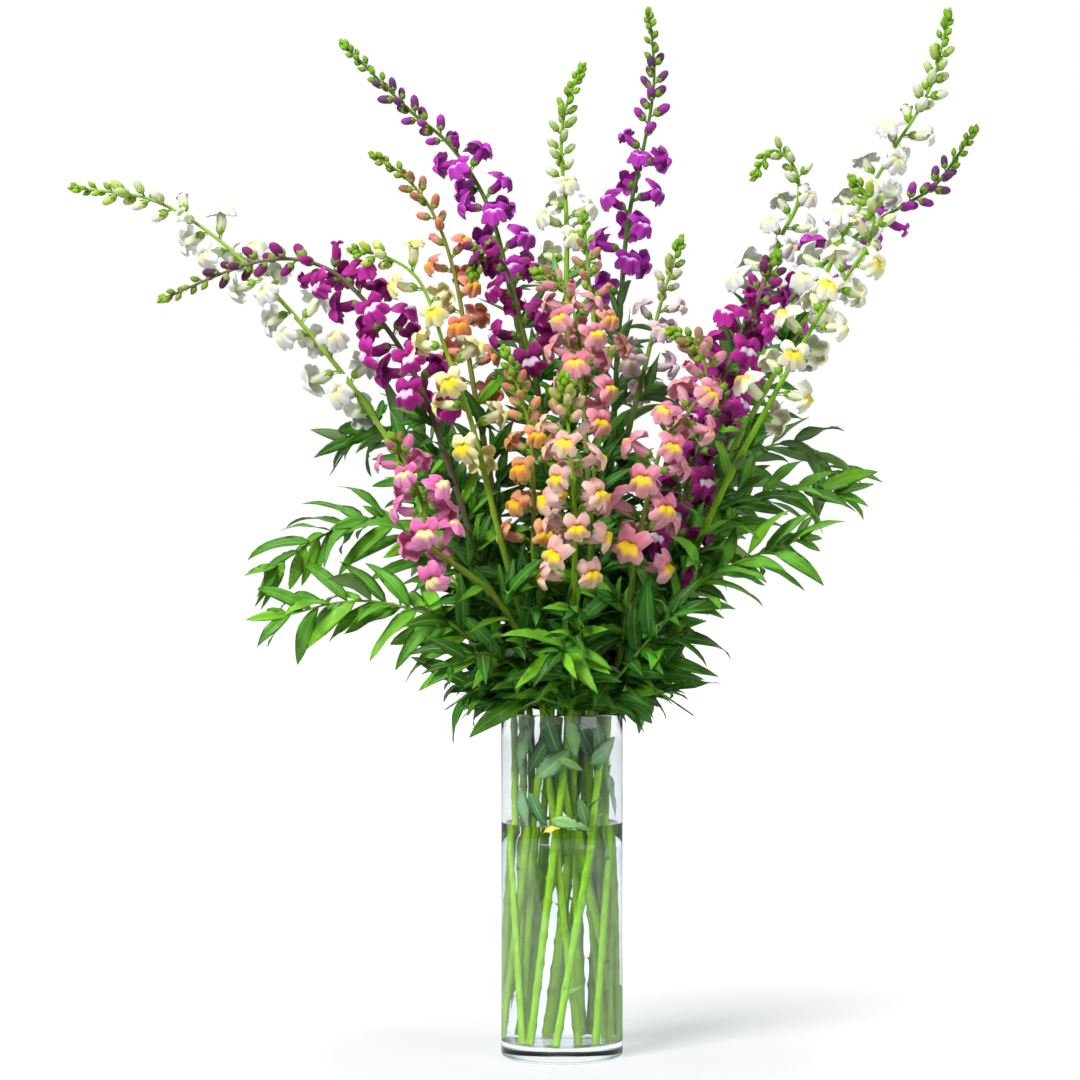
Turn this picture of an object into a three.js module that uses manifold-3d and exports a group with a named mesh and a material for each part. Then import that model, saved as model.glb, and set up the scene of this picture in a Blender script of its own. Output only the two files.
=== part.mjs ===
// A bouquet of cut snapdragons standing in a tall clear glass cylinder of water.
// Units are millimetres, +Z is up, and the origin is the centre of the underside of the vase.
// The bouquet faces -Y. Each flower stem is one solid from its cut foot to the tip of its spike,
// each band of florets is a sleeve round its stem, and each leafy side shoot is one solid of its own.
import * as THREE from "three";
import { mergeVertices } from "three/addons/utils/BufferGeometryUtils.js";
import Module from "manifold-3d";

const wasm = await Module();
wasm.setup();

// ---- Driving dimensions -------------------------------------------------------------------------

const vase = {
  outerRadius: 54,
  height: 305,
  wall: 3.5,
  floor: 14,
  heel: 5, // outside round at the foot
  cove: 3, // inside round where the wall meets the floor
  lip: 1.2, // round on the rim
  sides: 40,
};
const waterLevel = 206;
const gap = 0.5; // clearance kept between solids that touch in the real bouquet

const stem = {
  footRadius: 3.2,
  neckRadius: 2.5, // where the flowers begin
  tipRadius: 1.0,
  sides: 5,
  leafyStep: 48, // length between rings on the leafy part
  bloomStep: 31, // length between rings among the flowers
};
const sleeve = { openRadius: 16, budRadius: 5, endRadius: 8, widestAt: 0.25, sides: 6 };
const standing = {
  reach: 45, // how far from the axis a stem may stand inside the vase
  footZ: vase.floor + 3,
  spacing: 7.6, // least distance between stem centrelines inside the vase
  lean: 0.3, // share of its sideways lean that a stem already has at the rim
  leastLean: 14, // added to that, so that no stem starts on the axis
  levels: 20, // steps from foot to rim at which stems are kept apart
  rounds: 400, // times that touching stems are pushed apart
  footSpread: 1.25, // distance of the foot from the axis, as a share of that at the rim
  twists: [0.9, -1.3, 1.7, -0.6, 2.2, -1.0], // radians from rim to foot, taken in turn by the stems
  pouringGap: { x: 0, y: 33, radius: 12, above: 0.5 }, // clear way down at the back of the upper half
};
const shoot = { baseRadius: 1.9, tipRadius: 1.0, sides: 4, step: 32 };
const leaf = { length: 74, width: 15, thickness: 0.9, lift: 0.75, spiral: 1.2, tipShare: 0.7 };

const green = { stalk: 0x6fa51e, leaf: 0x2f6a24 };

// ---- The cut stems ------------------------------------------------------------------------------
// route runs from just above the rim to the tip, and blooms is the flowering length from the tip down.

const snapdragons = [
  { name: "white_left", petal: 0xf4f6ee, blooms: 350,
    route: [[-90, 10, 435], [-160, 20, 555], [-215, 25, 630], [-305, 35, 725], [-370, 40, 765], [-440, 35, 775]] },
  { name: "magenta_left", petal: 0x9c1483, blooms: 310,
    route: [[-75, -35, 445], [-125, -70, 595], [-155, -80, 645], [-200, -85, 690], [-240, -85, 700],
      [-285, -85, 690], [-345, -80, 665]] },
  { name: "purple_upper_left", petal: 0xa226b4, blooms: 290,
    route: [[-15, 70, 495], [-45, 125, 680], [-70, 140, 775], [-105, 150, 830], [-140, 150, 860], [-205, 150, 925]] },
  { name: "orange_left", petal: 0xe87f45, blooms: 250,
    route: [[-50, 0, 440], [-80, 40, 600], [-95, 45, 690], [-110, 45, 740], [-135, 40, 780], [-170, 35, 805]] },
  { name: "yellow_left", petal: 0xf3ee7c, blooms: 240,
    route: [[-35, -60, 390], [-55, -85, 465], [-80, -105, 565], [-100, -110, 620], [-120, -110, 675],
      [-140, -110, 695], [-180, -105, 705]] },
  { name: "pink_left", petal: 0xee5fa8, blooms: 130,
    route: [[-30, -60, 355], [-50, -90, 400], [-80, -120, 430], [-110, -135, 450], [-120, -140, 495], [-145, -140, 545]] },
  { name: "white_centre", petal: 0xf2f5dc, blooms: 195,
    route: [[10, 40, 475], [5, 85, 680], [5, 95, 755], [0, 100, 825], [5, 100, 860], [20, 100, 895]] },
  { name: "purple_upper_centre", petal: 0xa933c4, blooms: 280,
    route: [[40, 70, 440], [50, 135, 580], [55, 160, 655], [65, 190, 765], [80, 200, 835], [90, 205, 900], [85, 205, 965]] },
  { name: "peach_centre", petal: 0xee9a80, blooms: 150,
    route: [[25, 0, 475], [35, 15, 585], [30, 20, 645], [25, 25, 685], [20, 25, 750]] },
  { name: "pale_pink_right", petal: 0xf0b9cf, blooms: 150,
    route: [[40, 15, 420], [50, 45, 510], [75, 75, 610], [90, 85, 670], [110, 90, 735]] },
  { name: "pink_centre", petal: 0xf08fb0, blooms: 165,
    route: [[25, -45, 460], [20, -70, 545], [15, -75, 615], [10, -75, 655], [-5, -75, 680], [-25, -70, 690]] },
  { name: "peach_front", petal: 0xf2b9a8, blooms: 185,
    route: [[15, -55, 345], [10, -100, 410], [10, -140, 475], [5, -165, 540], [0, -175, 595]] },
  { name: "orange_centre", petal: 0xf19a4c, blooms: 185,
    route: [[-20, -35, 390], [-25, -65, 445], [-25, -90, 500], [-30, -105, 560], [-50, -110, 620]] },
  { name: "dark_purple_centre", petal: 0x80107c, blooms: 150,
    route: [[-5, 25, 460], [-20, 10, 585], [-35, 0, 645], [-50, -5, 700], [-65, -5, 720], [-80, -5, 690]] },
  { name: "pink_right", petal: 0xf07a98, blooms: 240,
    route: [[50, -45, 355], [60, -80, 425], [70, -110, 485], [90, -130, 550], [110, -135, 570], [120, -135, 595],
      [115, -135, 620], [90, -130, 635]] },
  { name: "magenta_right", petal: 0xa60f92, blooms: 170,
    route: [[80, -8, 415], [115, -5, 540], [135, -10, 585], [155, -20, 630], [175, -25, 675], [190, -25, 710]] },
  { name: "purple_right_far", petal: 0xa21db0, blooms: 290,
    route: [[80, 45, 405], [120, 75, 495], [170, 110, 615], [230, 130, 700], [300, 135, 760], [345, 130, 785], [385, 120, 840]] },
  { name: "white_right_upper", petal: 0xf5f7ea, blooms: 340,
    route: [[88, 18, 415], [160, 30, 550], [215, 45, 650], [265, 55, 750], [300, 55, 810], [335, 50, 870], [350, 45, 935]] },
  { name: "white_droop_right", petal: 0xf3f6e4, blooms: 200,
    route: [[70, 75, 410], [145, 145, 560], [190, 190, 695], [210, 200, 745], [230, 205, 795], [210, 205, 835], [185, 200, 805]] },
  { name: "yellow_right", petal: 0xf6f5c4, blooms: 240,
    route: [[100, -40, 415], [140, -80, 505], [185, -105, 590], [225, -110, 660], [260, -115, 710], [265, -115, 735],
      [245, -115, 765]] },
  { name: "magenta_low_right", petal: 0x8f0f70, blooms: 170,
    route: [[65, -35, 385], [90, -30, 440], [110, -50, 510], [125, -60, 560], [140, -65, 590]] },
];

// ---- The leafy side shoots ----------------------------------------------------------------------
// Each one leaves its parent stem at the height given, and its route goes on from there.

const shoots = [
  { name: "left_low", parent: "white_left", height: 330, route: [[-90, -40, 380], [-140, -50, 400], [-185, -50, 405], [-230, -45, 395]] },
  { name: "left_high", parent: "magenta_left", height: 365, route: [[-110, 0, 440], [-155, -10, 475], [-205, -15, 465], [-245, -20, 440]] },
  { name: "left_top", parent: "white_left", height: 420, route: [[-110, 60, 520], [-145, 60, 560], [-180, 60, 550]] },
  { name: "right_mid", parent: "white_right_upper", height: 350, route: [[140, -30, 470], [180, -30, 500], [230, -30, 500]] },
  { name: "right_low", parent: "yellow_right", height: 345, route: [[110, -70, 415], [155, -70, 440], [195, -70, 455]] },
  { name: "right_top", parent: "purple_right_far", height: 430, route: [[165, 110, 525], [210, 110, 550], [245, 110, 525]] },
  { name: "front_left", parent: "pink_left", height: 335, route: [[-55, -75, 360], [-85, -105, 355]] },
  { name: "front_centre", parent: "peach_front", height: 325, route: [[5, -80, 360], [0, -120, 365]] },
  { name: "front_right", parent: "pink_right", height: 330, route: [[65, -70, 360], [85, -100, 385]] },
  { name: "rim_left", parent: "magenta_left", height: 312, route: [[-65, -40, 330], [-95, -55, 315]] },
  { name: "rim_right", parent: "yellow_right", height: 312, route: [[70, -40, 330], [100, -55, 315]] },
  { name: "back_left", parent: "purple_upper_left", height: 345, route: [[-40, 85, 400], [-75, 140, 460], [-90, 175, 470]] },
  { name: "back_centre", parent: "white_centre", height: 340, route: [[5, 80, 400], [0, 140, 450], [-5, 180, 455]] },
  { name: "back_right", parent: "white_droop_right", height: 345, route: [[70, 90, 390], [95, 150, 430], [110, 190, 435]] },
];

// ---- Helpers ------------------------------------------------------------------------------------

const flat = (x, y) => new THREE.Vector2(x, y);
const lerp = THREE.MathUtils.lerp;

// The stretch of a stem between two of its rings, as a curve. A sleeve over part of a stem takes its
// ring planes from the whole stem, so the two bend together.
class RingLine extends THREE.Curve {
  constructor(centres, first, last) {
    super();
    Object.assign(this, { centres, first, last });
  }

  getPointAt(u) {
    return this.centres[Math.round(lerp(this.first, this.last, u))].clone();
  }

  getTangentAt(u) {
    const ring = Math.round(lerp(this.first, this.last, u));
    const before = this.centres[Math.max(ring - 1, 0)];
    const after = this.centres[Math.min(ring + 1, this.centres.length - 1)];
    return after.clone().sub(before).normalize();
  }
}

function polygon(radius, sides) {
  const corners = [];
  for (let i = 0; i < sides; i += 1) {
    const angle = (i / sides) * 2 * Math.PI;
    corners.push(flat(Math.cos(angle) * radius, Math.sin(angle) * radius));
  }
  return corners;
}

// Extrudes a section of unit radius over a run of rings, then gives each ring its own radius.
function tube(centres, { sides, radiusAt, holeAt, first = 0, last = centres.length - 1 }) {
  const holeMark = 0.5;
  const section = new THREE.Shape(polygon(1, sides));
  if (holeAt) section.holes.push(new THREE.Path(polygon(holeMark, stem.sides)));
  const extrudePath = new RingLine(centres, first, last);
  const geometry = new THREE.ExtrudeGeometry(section, { steps: last - first, extrudePath, bevelEnabled: false });
  const position = geometry.getAttribute("position");
  const point = new THREE.Vector3();
  for (let i = 0; i < position.count; i += 1) {
    point.fromBufferAttribute(position, i);
    let ring = first;
    for (let k = first; k <= last; k += 1) {
      if (centres[k].distanceTo(point) < centres[ring].distanceTo(point)) ring = k;
    }
    const offset = point.clone().sub(centres[ring]);
    const inHole = holeAt && offset.length() < (1 + holeMark) / 2;
    offset.multiplyScalar(inHole ? holeAt(ring) / holeMark : radiusAt(ring));
    point.copy(centres[ring]).add(offset);
    position.setXYZ(i, point.x, point.y, point.z);
  }
  return geometry;
}

function toSolid(geometry) {
  const bare = new THREE.BufferGeometry().setAttribute("position", geometry.getAttribute("position"));
  if (geometry.index) bare.setIndex(geometry.index);
  const merged = mergeVertices(bare, 1e-4);
  return new wasm.Manifold(
    new wasm.Mesh({
      numProp: 3,
      vertProperties: new Float32Array(merged.getAttribute("position").array),
      triVerts: new Uint32Array(merged.index.array),
    }),
  );
}

function toGeometry(solid) {
  const mesh = solid.getMesh();
  const geometry = new THREE.BufferGeometry();
  geometry.setAttribute("position", new THREE.BufferAttribute(new Float32Array(mesh.vertProperties), 3));
  geometry.setIndex(new THREE.BufferAttribute(new Uint32Array(mesh.triVerts), 1));
  return geometry;
}

function lathe(profile) {
  const points = profile.map(([radius, z]) => flat(radius, z));
  const geometry = new THREE.LatheGeometry(points, vase.sides);
  geometry.rotateX(Math.PI / 2); // the lathe turns about Y
  return geometry;
}

function addPart(group, name, geometry, colour, finish) {
  const material = new THREE.MeshStandardMaterial({ color: colour, metalness: 0, roughness: 0.6, ...finish });
  const mesh = new THREE.Mesh(geometry, material);
  mesh.name = name;
  group.add(mesh);
  return mesh;
}

// ---- The vase and the water ---------------------------------------------------------------------

// A quarter round from angle a to angle b about a corner's centre, as [radius, z] pairs.
function round(centreRadius, centreZ, radius, a, b, steps) {
  const points = [];
  for (let i = 0; i <= steps; i += 1) {
    const angle = lerp(a, b, i / steps);
    points.push([centreRadius + Math.cos(angle) * radius, centreZ + Math.sin(angle) * radius]);
  }
  return points;
}

function makeVase() {
  const { outerRadius, height, wall, floor, heel, cove, lip } = vase;
  const inner = outerRadius - wall;
  const quarter = Math.PI / 2;
  return lathe([
    [0, 0],
    ...round(outerRadius - heel, heel, heel, -quarter, 0, 3),
    ...round(outerRadius - lip, height - lip, lip, 0, quarter, 1),
    ...round(inner + lip, height - lip, lip, quarter, 2 * quarter, 1),
    ...round(inner - cove, floor + cove, cove, 0, -quarter, 2),
    [0, floor],
  ]);
}

function makeWater(stems) {
  const radius = vase.outerRadius - vase.wall - gap;
  const bottom = vase.floor + gap;
  const body = lathe([
    [0, bottom],
    ...round(radius - vase.cove, bottom + vase.cove, vase.cove, -Math.PI / 2, 0, 2),
    [radius, waterLevel],
    [0, waterLevel],
  ]);
  const radiusAt = () => (stem.footRadius + gap) / Math.cos(Math.PI / stem.sides);
  return stems.reduce((water, { centres }) => {
    const [foot, rim] = [centres[0], centres[2]];
    const below = foot.clone().sub(rim).setLength(2 * gap).add(foot);
    return water.subtract(toSolid(tube([below, rim], { sides: stem.sides, radiusAt })));
  }, toSolid(body));
}

// ---- Standing the stems in the vase -------------------------------------------------------------

// Every stem is straight from its foot to the rim. Feet and rim points start on opposite sides, like
// a hand-tied spiral, and are then pushed apart until no two stems touch at any height in between.
function standStems() {
  const { twists, footSpread } = standing;
  const lines = snapdragons.map(({ route }, i) => {
    const towards = flat(route[0][0], route[0][1]);
    const lean = Math.min(towards.length() * standing.lean + standing.leastLean, standing.reach);
    const rim = towards.clone().setLength(lean);
    const foot = rim.clone().rotateAround(flat(0, 0), twists[i % twists.length]).multiplyScalar(footSpread);
    return { rim, foot };
  });
  const levels = Array.from({ length: standing.levels + 1 }, (_, i) => i / standing.levels);
  const at = (line, t) => line.foot.clone().lerp(line.rim, t);
  const push = (line, t, by) => {
    line.foot.addScaledVector(by, 1 - t);
    line.rim.addScaledVector(by, t);
  };
  const { pouringGap, spacing, reach, rounds } = standing;
  for (let round = 0; round < rounds; round += 1) {
    for (const t of levels) {
      lines.forEach((a, i) => {
        for (const b of lines.slice(i + 1)) {
          const apart = at(b, t).sub(at(a, t));
          const short = spacing - apart.length();
          if (short > 0) {
            apart.setLength(short / 2);
            push(b, t, apart);
            push(a, t, apart.negate());
          }
        }
        const fromGap = at(a, t).sub(flat(pouringGap.x, pouringGap.y));
        const close = pouringGap.radius - fromGap.length();
        if (close > 0 && t > pouringGap.above) push(a, t, fromGap.setLength(close));
      });
    }
    for (const line of lines) {
      line.foot.clampLength(0, reach);
      line.rim.clampLength(0, reach);
    }
  }
  return lines;
}

// Ring centres of one stem: three in the vase on a straight line, then evenly spaced up to the tip.
function ringCentres({ route, blooms }, { foot, rim }) {
  const footPoint = new THREE.Vector3(foot.x, foot.y, standing.footZ);
  const rimPoint = new THREE.Vector3(rim.x, rim.y, vase.height);
  const share = (waterLevel - standing.footZ) / (vase.height - standing.footZ);
  const above = new THREE.CatmullRomCurve3(
    [rimPoint, ...route.map((p) => new THREE.Vector3(...p))],
    false,
    "centripetal",
  );
  const length = above.getLength();
  const leafyRings = Math.max(2, Math.round((length - blooms) / stem.leafyStep));
  const bloomRings = Math.round(blooms / stem.bloomStep);
  const neck = (length - blooms) / length;
  const centres = [footPoint, footPoint.clone().lerp(rimPoint, share)];
  for (let i = 0; i < leafyRings; i += 1) centres.push(above.getPointAt((i / leafyRings) * neck));
  const neckRing = centres.length;
  for (let i = 0; i <= bloomRings; i += 1) centres.push(above.getPointAt(lerp(neck, 1, i / bloomRings)));
  return { centres, neckRing };
}

function stemRadius({ centres, neckRing }, ring) {
  const tip = centres.length - 1;
  return ring <= neckRing
    ? lerp(stem.footRadius, stem.neckRadius, ring / neckRing)
    : lerp(stem.neckRadius, stem.tipRadius, (ring - neckRing) / (tip - neckRing));
}

function makeStem(rings) {
  return tube(rings.centres, { sides: stem.sides, radiusAt: (ring) => stemRadius(rings, ring) });
}

// The florets as one soft sleeve: full where they are open, narrow over the buds, short of the tip.
function makeSleeve(rings) {
  const first = rings.neckRing;
  const last = rings.centres.length - 2;
  const radiusAt = (ring) => {
    const along = (ring - first) / (last - first);
    return along < sleeve.widestAt
      ? lerp(sleeve.endRadius, sleeve.openRadius, along / sleeve.widestAt)
      : lerp(sleeve.openRadius, sleeve.budRadius, (along - sleeve.widestAt) / (1 - sleeve.widestAt));
  };
  const holeAt = (ring) => (stemRadius(rings, ring) + gap) / Math.cos(Math.PI / stem.sides);
  return tube(rings.centres, { sides: sleeve.sides, radiusAt, holeAt, first, last });
}

// ---- Leafy side shoots --------------------------------------------------------------------------

// A thin lance-shaped blade that starts at the origin and lies along +X.
function makeBlade(size) {
  const outline = new THREE.Shape([
    flat(-1, 0),
    flat(leaf.length * 0.4 * size, -leaf.width * 0.5 * size),
    flat(leaf.length * size, 0),
    flat(leaf.length * 0.4 * size, leaf.width * 0.5 * size),
  ]);
  const blade = new THREE.ExtrudeGeometry(outline, { depth: leaf.thickness, bevelEnabled: false });
  return blade.translate(0, 0, -leaf.thickness / 2);
}

// The free way down to the water, which leaves and shoots keep out of.
function makePouringWay() {
  const { x, y, radius } = standing.pouringGap;
  const ends = [waterLevel, vase.height + 2 * radius].map((z) => new THREE.Vector3(x, y, z));
  return toSolid(tube(ends, { sides: 8, radiusAt: () => radius - stem.footRadius }));
}

function clearOf(solid, others) {
  return others.every((other) => solid.minGap(other, gap) >= gap * 0.9);
}

// A leaf that would cut through a neighbour is left off, as it would bend aside on the plant.
function makeShoot({ parent, height, route }, stems, placed) {
  const { centres: parentRings } = stems.get(parent);
  const above = parentRings.findIndex((centre) => centre.z > height);
  const [low, high] = [parentRings[above - 1], parentRings[above]];
  const start = low.clone().lerp(high, (height - low.z) / (high.z - low.z));
  const points = route.map((p) => new THREE.Vector3(...p));
  const away = points[0].clone().sub(start).setZ(0).normalize();
  start.addScaledVector(away, stem.footRadius + shoot.baseRadius + 2 * gap);
  const axis = new THREE.CatmullRomCurve3([start, ...points], false, "centripetal");
  const tip = Math.max(3, Math.round(axis.getLength() / shoot.step));
  const centres = axis.getSpacedPoints(tip);
  const radiusAt = (ring) => lerp(shoot.baseRadius, shoot.tipRadius, ring / tip);
  const line = new RingLine(centres, 0, tip);
  let solid = toSolid(tube(centres, { sides: shoot.sides, radiusAt }));
  for (let ring = 1; ring <= tip; ring += 1) {
    const forward = line.getTangentAt(ring / tip);
    const side = new THREE.Vector3(0, 0, 1).cross(forward).normalize();
    const over = forward.clone().cross(side);
    for (const turn of [0, Math.PI]) {
      const angle = turn + ring * leaf.spiral;
      const out = side.clone().multiplyScalar(Math.cos(angle)).addScaledVector(over, Math.sin(angle));
      const along = out.addScaledVector(forward, leaf.lift).normalize();
      const across = forward.clone().cross(along).normalize();
      const face = along.clone().cross(across);
      const place = new THREE.Matrix4().makeBasis(along, across, face).setPosition(centres[ring]);
      const blade = toSolid(makeBlade(lerp(1, leaf.tipShare, ring / tip)).applyMatrix4(place));
      if (clearOf(blade, placed)) solid = solid.add(blade);
    }
  }
  return solid;
}

// ---- Assembly -----------------------------------------------------------------------------------

const bouquet = new THREE.Group();
const lines = standStems();
const stems = new Map(snapdragons.map((plant, i) => [plant.name, ringCentres(plant, lines[i])]));
const placed = [];

const glass = makeVase();
addPart(bouquet, "vase", glass, 0xdfeceb, { roughness: 0.05, transparent: true, opacity: 0.35 });
placed.push(toSolid(glass), makePouringWay());

const water = makeWater([...stems.values()]);
addPart(bouquet, "water", toGeometry(water), 0xdcebf2, { roughness: 0.02, transparent: true, opacity: 0.3 });

for (const { name, petal } of snapdragons) {
  const rings = stems.get(name);
  const stalk = makeStem(rings);
  const florets = makeSleeve(rings);
  addPart(bouquet, `stem_${name}`, stalk, green.stalk);
  addPart(bouquet, `florets_${name}`, florets, petal);
  placed.push(toSolid(stalk), toSolid(florets));
}

for (const plan of shoots) {
  const solid = makeShoot(plan, stems, placed);
  addPart(bouquet, `shoot_${plan.name}`, toGeometry(solid), green.leaf);
  placed.push(solid);
}

export default bouquet;
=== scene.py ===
import math
import random

import bpy
import numpy as np
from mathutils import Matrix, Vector


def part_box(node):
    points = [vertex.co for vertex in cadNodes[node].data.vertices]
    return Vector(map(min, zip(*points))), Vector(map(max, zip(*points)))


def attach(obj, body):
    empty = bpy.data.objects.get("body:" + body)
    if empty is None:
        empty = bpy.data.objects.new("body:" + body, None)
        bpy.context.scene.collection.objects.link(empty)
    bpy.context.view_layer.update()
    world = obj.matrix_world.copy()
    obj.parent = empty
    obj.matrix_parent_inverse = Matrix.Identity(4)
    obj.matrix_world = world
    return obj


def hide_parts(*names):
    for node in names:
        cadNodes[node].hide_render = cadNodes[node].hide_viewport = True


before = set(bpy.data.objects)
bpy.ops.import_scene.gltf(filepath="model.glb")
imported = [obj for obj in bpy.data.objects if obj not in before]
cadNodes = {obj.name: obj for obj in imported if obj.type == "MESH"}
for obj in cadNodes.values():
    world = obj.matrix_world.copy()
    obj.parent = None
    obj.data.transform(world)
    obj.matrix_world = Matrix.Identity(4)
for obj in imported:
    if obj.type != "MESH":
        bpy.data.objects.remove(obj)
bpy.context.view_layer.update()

mm = 0.001
goldenAngle = math.radians(137.5)
print("frame loaded:", len(cadNodes), "nodes")


# the camera stands level and looks along +Y
cameraSetup = {"place": (-0.0195, -2.6, 0.458), "turn": (math.pi / 2, 0, 0), "lens": 97.5, "sensor": 36}

cameraData = bpy.data.cameras.new("camera")
cameraData.lens = cameraSetup["lens"]
cameraData.sensor_width = cameraSetup["sensor"]
camera = bpy.data.objects.new("camera", cameraData)
camera.location = cameraSetup["place"]
camera.rotation_euler = cameraSetup["turn"]
bpy.context.scene.collection.objects.link(camera)
bpy.context.scene.camera = camera


# small vector helpers
def unit(v):
    return np.asarray(v, float) / max(np.linalg.norm(v), 1e-12)


def mix(a, b, t):
    return a + (b - a) * t


def ease(t):
    t = np.clip(t, 0, 1)
    return t * t * (3 - 2 * t)


def turned(v, axis, angle):
    # Rodrigues' rotation of v about a unit axis
    c, s = math.cos(angle), math.sin(angle)
    return v * c + np.cross(axis, v) * s + axis * np.dot(axis, v) * (1 - c)


def tone(code):
    # "rrggbb" as linear red, green and blue
    parts = [int(code[i : i + 2], 16) / 255 for i in (0, 2, 4)]
    return np.array([p / 12.92 if p <= 0.04045 else ((p + 0.055) / 1.055) ** 2.4 for p in parts])


# smooth curve through a spline's points, column by column, with t from 0 to 1
def spline(points, t):
    p = np.asarray(points, float)
    p = np.vstack([2 * p[0] - p[1], p, 2 * p[-1] - p[-2]])
    x = np.clip(np.asarray(t, float), 0, 1) * (len(p) - 3)
    i = np.minimum(x.astype(int), len(p) - 4)
    f = (x - i)[:, None]
    a, b, c, d = p[i], p[i + 1], p[i + 2], p[i + 3]
    return 0.5 * (2 * b + (c - a) * f + (2 * a - 5 * b + 4 * c - d) * f**2 + (3 * b - a - 3 * c + d) * f**3)


class Line:
    # a stem's centreline, measured by its length from the foot
    def __init__(self, centres, step=4 * mm):
        ends = np.vstack([2 * centres[0] - centres[1], centres, 2 * centres[-1] - centres[-2]])
        knots = np.concatenate([[0], np.cumsum(np.sqrt(np.linalg.norm(np.diff(ends, axis=0), axis=1)))])
        points = []
        for i in range(1, len(ends) - 2):
            t0, t1, t2, t3 = knots[i - 1 : i + 3]
            count = max(2, int(np.linalg.norm(ends[i + 1] - ends[i]) / step))
            for t in np.linspace(t1, t2, count, endpoint=False):
                a = mix(ends[i - 1], ends[i], (t - t0) / (t1 - t0))
                b = mix(ends[i], ends[i + 1], (t - t1) / (t2 - t1))
                c = mix(ends[i + 1], ends[i + 2], (t - t2) / (t3 - t2))
                d = mix(a, b, (t - t0) / (t2 - t0))
                e = mix(b, c, (t - t1) / (t3 - t1))
                points.append(mix(d, e, (t - t1) / (t2 - t1)))
        self.points = np.array(points + [centres[-1]])
        gaps = np.linalg.norm(np.diff(self.points, axis=0), axis=1)
        self.lengths = np.concatenate([[0], np.cumsum(gaps)])
        self.length = self.lengths[-1]
        self.tangents = np.gradient(self.points, self.lengths, axis=0)

    def at(self, s):
        return np.array([np.interp(s, self.lengths, self.points[:, k]) for k in range(3)])

    def tangent(self, s):
        return unit([np.interp(s, self.lengths, self.tangents[:, k]) for k in range(3)])

    def nearest(self, point):
        return self.lengths[np.argmin(np.linalg.norm(self.points - point, axis=1))]

    def axes(self, s):
        # the tangent, the side that faces -Y, and the side square to both
        t = self.tangent(s)
        front = np.array([0.0, -1.0, 0.0])
        front = unit(front - t * np.dot(front, t))
        return t, front, np.cross(t, front)


class Pile:
    # many small shapes that become one mesh
    def __init__(self):
        self.verts, self.loops, self.sizes, self.slots = [], [], [], []
        self.marks, self.paint = [], []
        self.count = 0

    def add(self, verts, faces, marks, paint, slot=0):
        self.verts.append(np.asarray(verts, float))
        for group in faces:
            group = np.asarray(group)
            self.loops.append((group + self.count).ravel())
            self.sizes.append(np.full(len(group), group.shape[1]))
            self.slots.append(np.full(len(group), slot))
        for store, values in ((self.marks, marks), (self.paint, paint)):
            store.append(np.broadcast_to(np.asarray(values, float), (len(verts), 4)))
        self.count += len(verts)

    def toObject(self, name, materials):
        mesh = bpy.data.meshes.new(name)
        verts, loops, sizes = (np.concatenate(x) for x in (self.verts, self.loops, self.sizes))
        mesh.vertices.add(len(verts))
        mesh.vertices.foreach_set("co", verts.astype(np.float32).ravel())
        mesh.loops.add(len(loops))
        mesh.loops.foreach_set("vertex_index", loops.astype(np.int32))
        mesh.polygons.add(len(sizes))
        starts = np.concatenate([[0], np.cumsum(sizes)[:-1]])
        mesh.polygons.foreach_set("loop_start", starts.astype(np.int32))
        mesh.polygons.foreach_set("material_index", np.concatenate(self.slots).astype(np.int32))
        for title, values in (("marks", self.marks), ("paint", self.paint)):
            layer = mesh.attributes.new(title, "FLOAT_COLOR", "POINT")
            layer.data.foreach_set("color", np.concatenate(values).astype(np.float32).ravel())
        mesh.update(calc_edges=True)
        mesh.validate()
        mesh.shade_smooth()
        for material in materials:
            mesh.materials.append(material)
        made = bpy.data.objects.new(name, mesh)
        bpy.context.scene.collection.objects.link(made)
        return made


def gridFaces(rows, columns, start=0, closed=True, flip=False):
    # quads between neighbouring rings of a grid of vertices
    i, j = np.meshgrid(np.arange(rows - 1), np.arange(columns if closed else columns - 1), indexing="ij")
    k = (j + 1) % columns
    quads = np.stack([i * columns + j, i * columns + k, (i + 1) * columns + k, (i + 1) * columns + j], -1)
    quads = quads.reshape(-1, 4) + start
    return quads[:, ::-1] if flip else quads


def tube(points, radii, sides, flutes=0.0):
    # a closed round rod along points, with shallow flutes; the faces point out
    points = np.asarray(points, float)
    tangents = np.gradient(points, axis=0)
    side = unit(np.cross(tangents[0], [0.3, -1.0, 0.2]))
    angles = np.arange(sides) / sides * 2 * math.pi
    rings = []
    for p, t, r in zip(points, tangents, radii):
        t = unit(t)
        side = unit(side - t * np.dot(side, t))
        over = np.cross(t, side)
        ripple = r * (1 + flutes * np.cos(angles * 4))
        rings.append(p + np.outer(np.cos(angles) * ripple, side) + np.outer(np.sin(angles) * ripple, over))
    verts = np.vstack(rings)
    caps = np.array([np.arange(sides)[::-1], np.arange(sides) + (len(points) - 1) * sides])
    return verts, [gridFaces(len(points), sides), caps]


# reading the stems back from the frame


def ringsOf(node, reach, fewest):
    # the middles and radii of a CAD rod's rings, not yet in order along the rod
    verts = np.array([v.co[:] for v in cadNodes[node].data.vertices])
    left = np.unique(np.round(verts, 5), axis=0)
    rings = []
    while len(left):
        near = np.linalg.norm(left - left[0], axis=1) < reach
        if near.sum() >= fewest:
            middle = left[near].mean(0)
            rings.append((middle, np.linalg.norm(left[near] - middle, axis=1).mean()))
        left = left[~near]
    return rings


def chained(rings, start):
    # the same rings in the order in which the rod passes through them
    rings = list(rings)
    ordered = [rings.pop(min(range(len(rings)), key=lambda k: np.linalg.norm(rings[k][0] - start)))]
    while rings:
        here = ordered[-1][0]
        ordered.append(rings.pop(min(range(len(rings)), key=lambda k: np.linalg.norm(rings[k][0] - here))))
    return ordered


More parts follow.
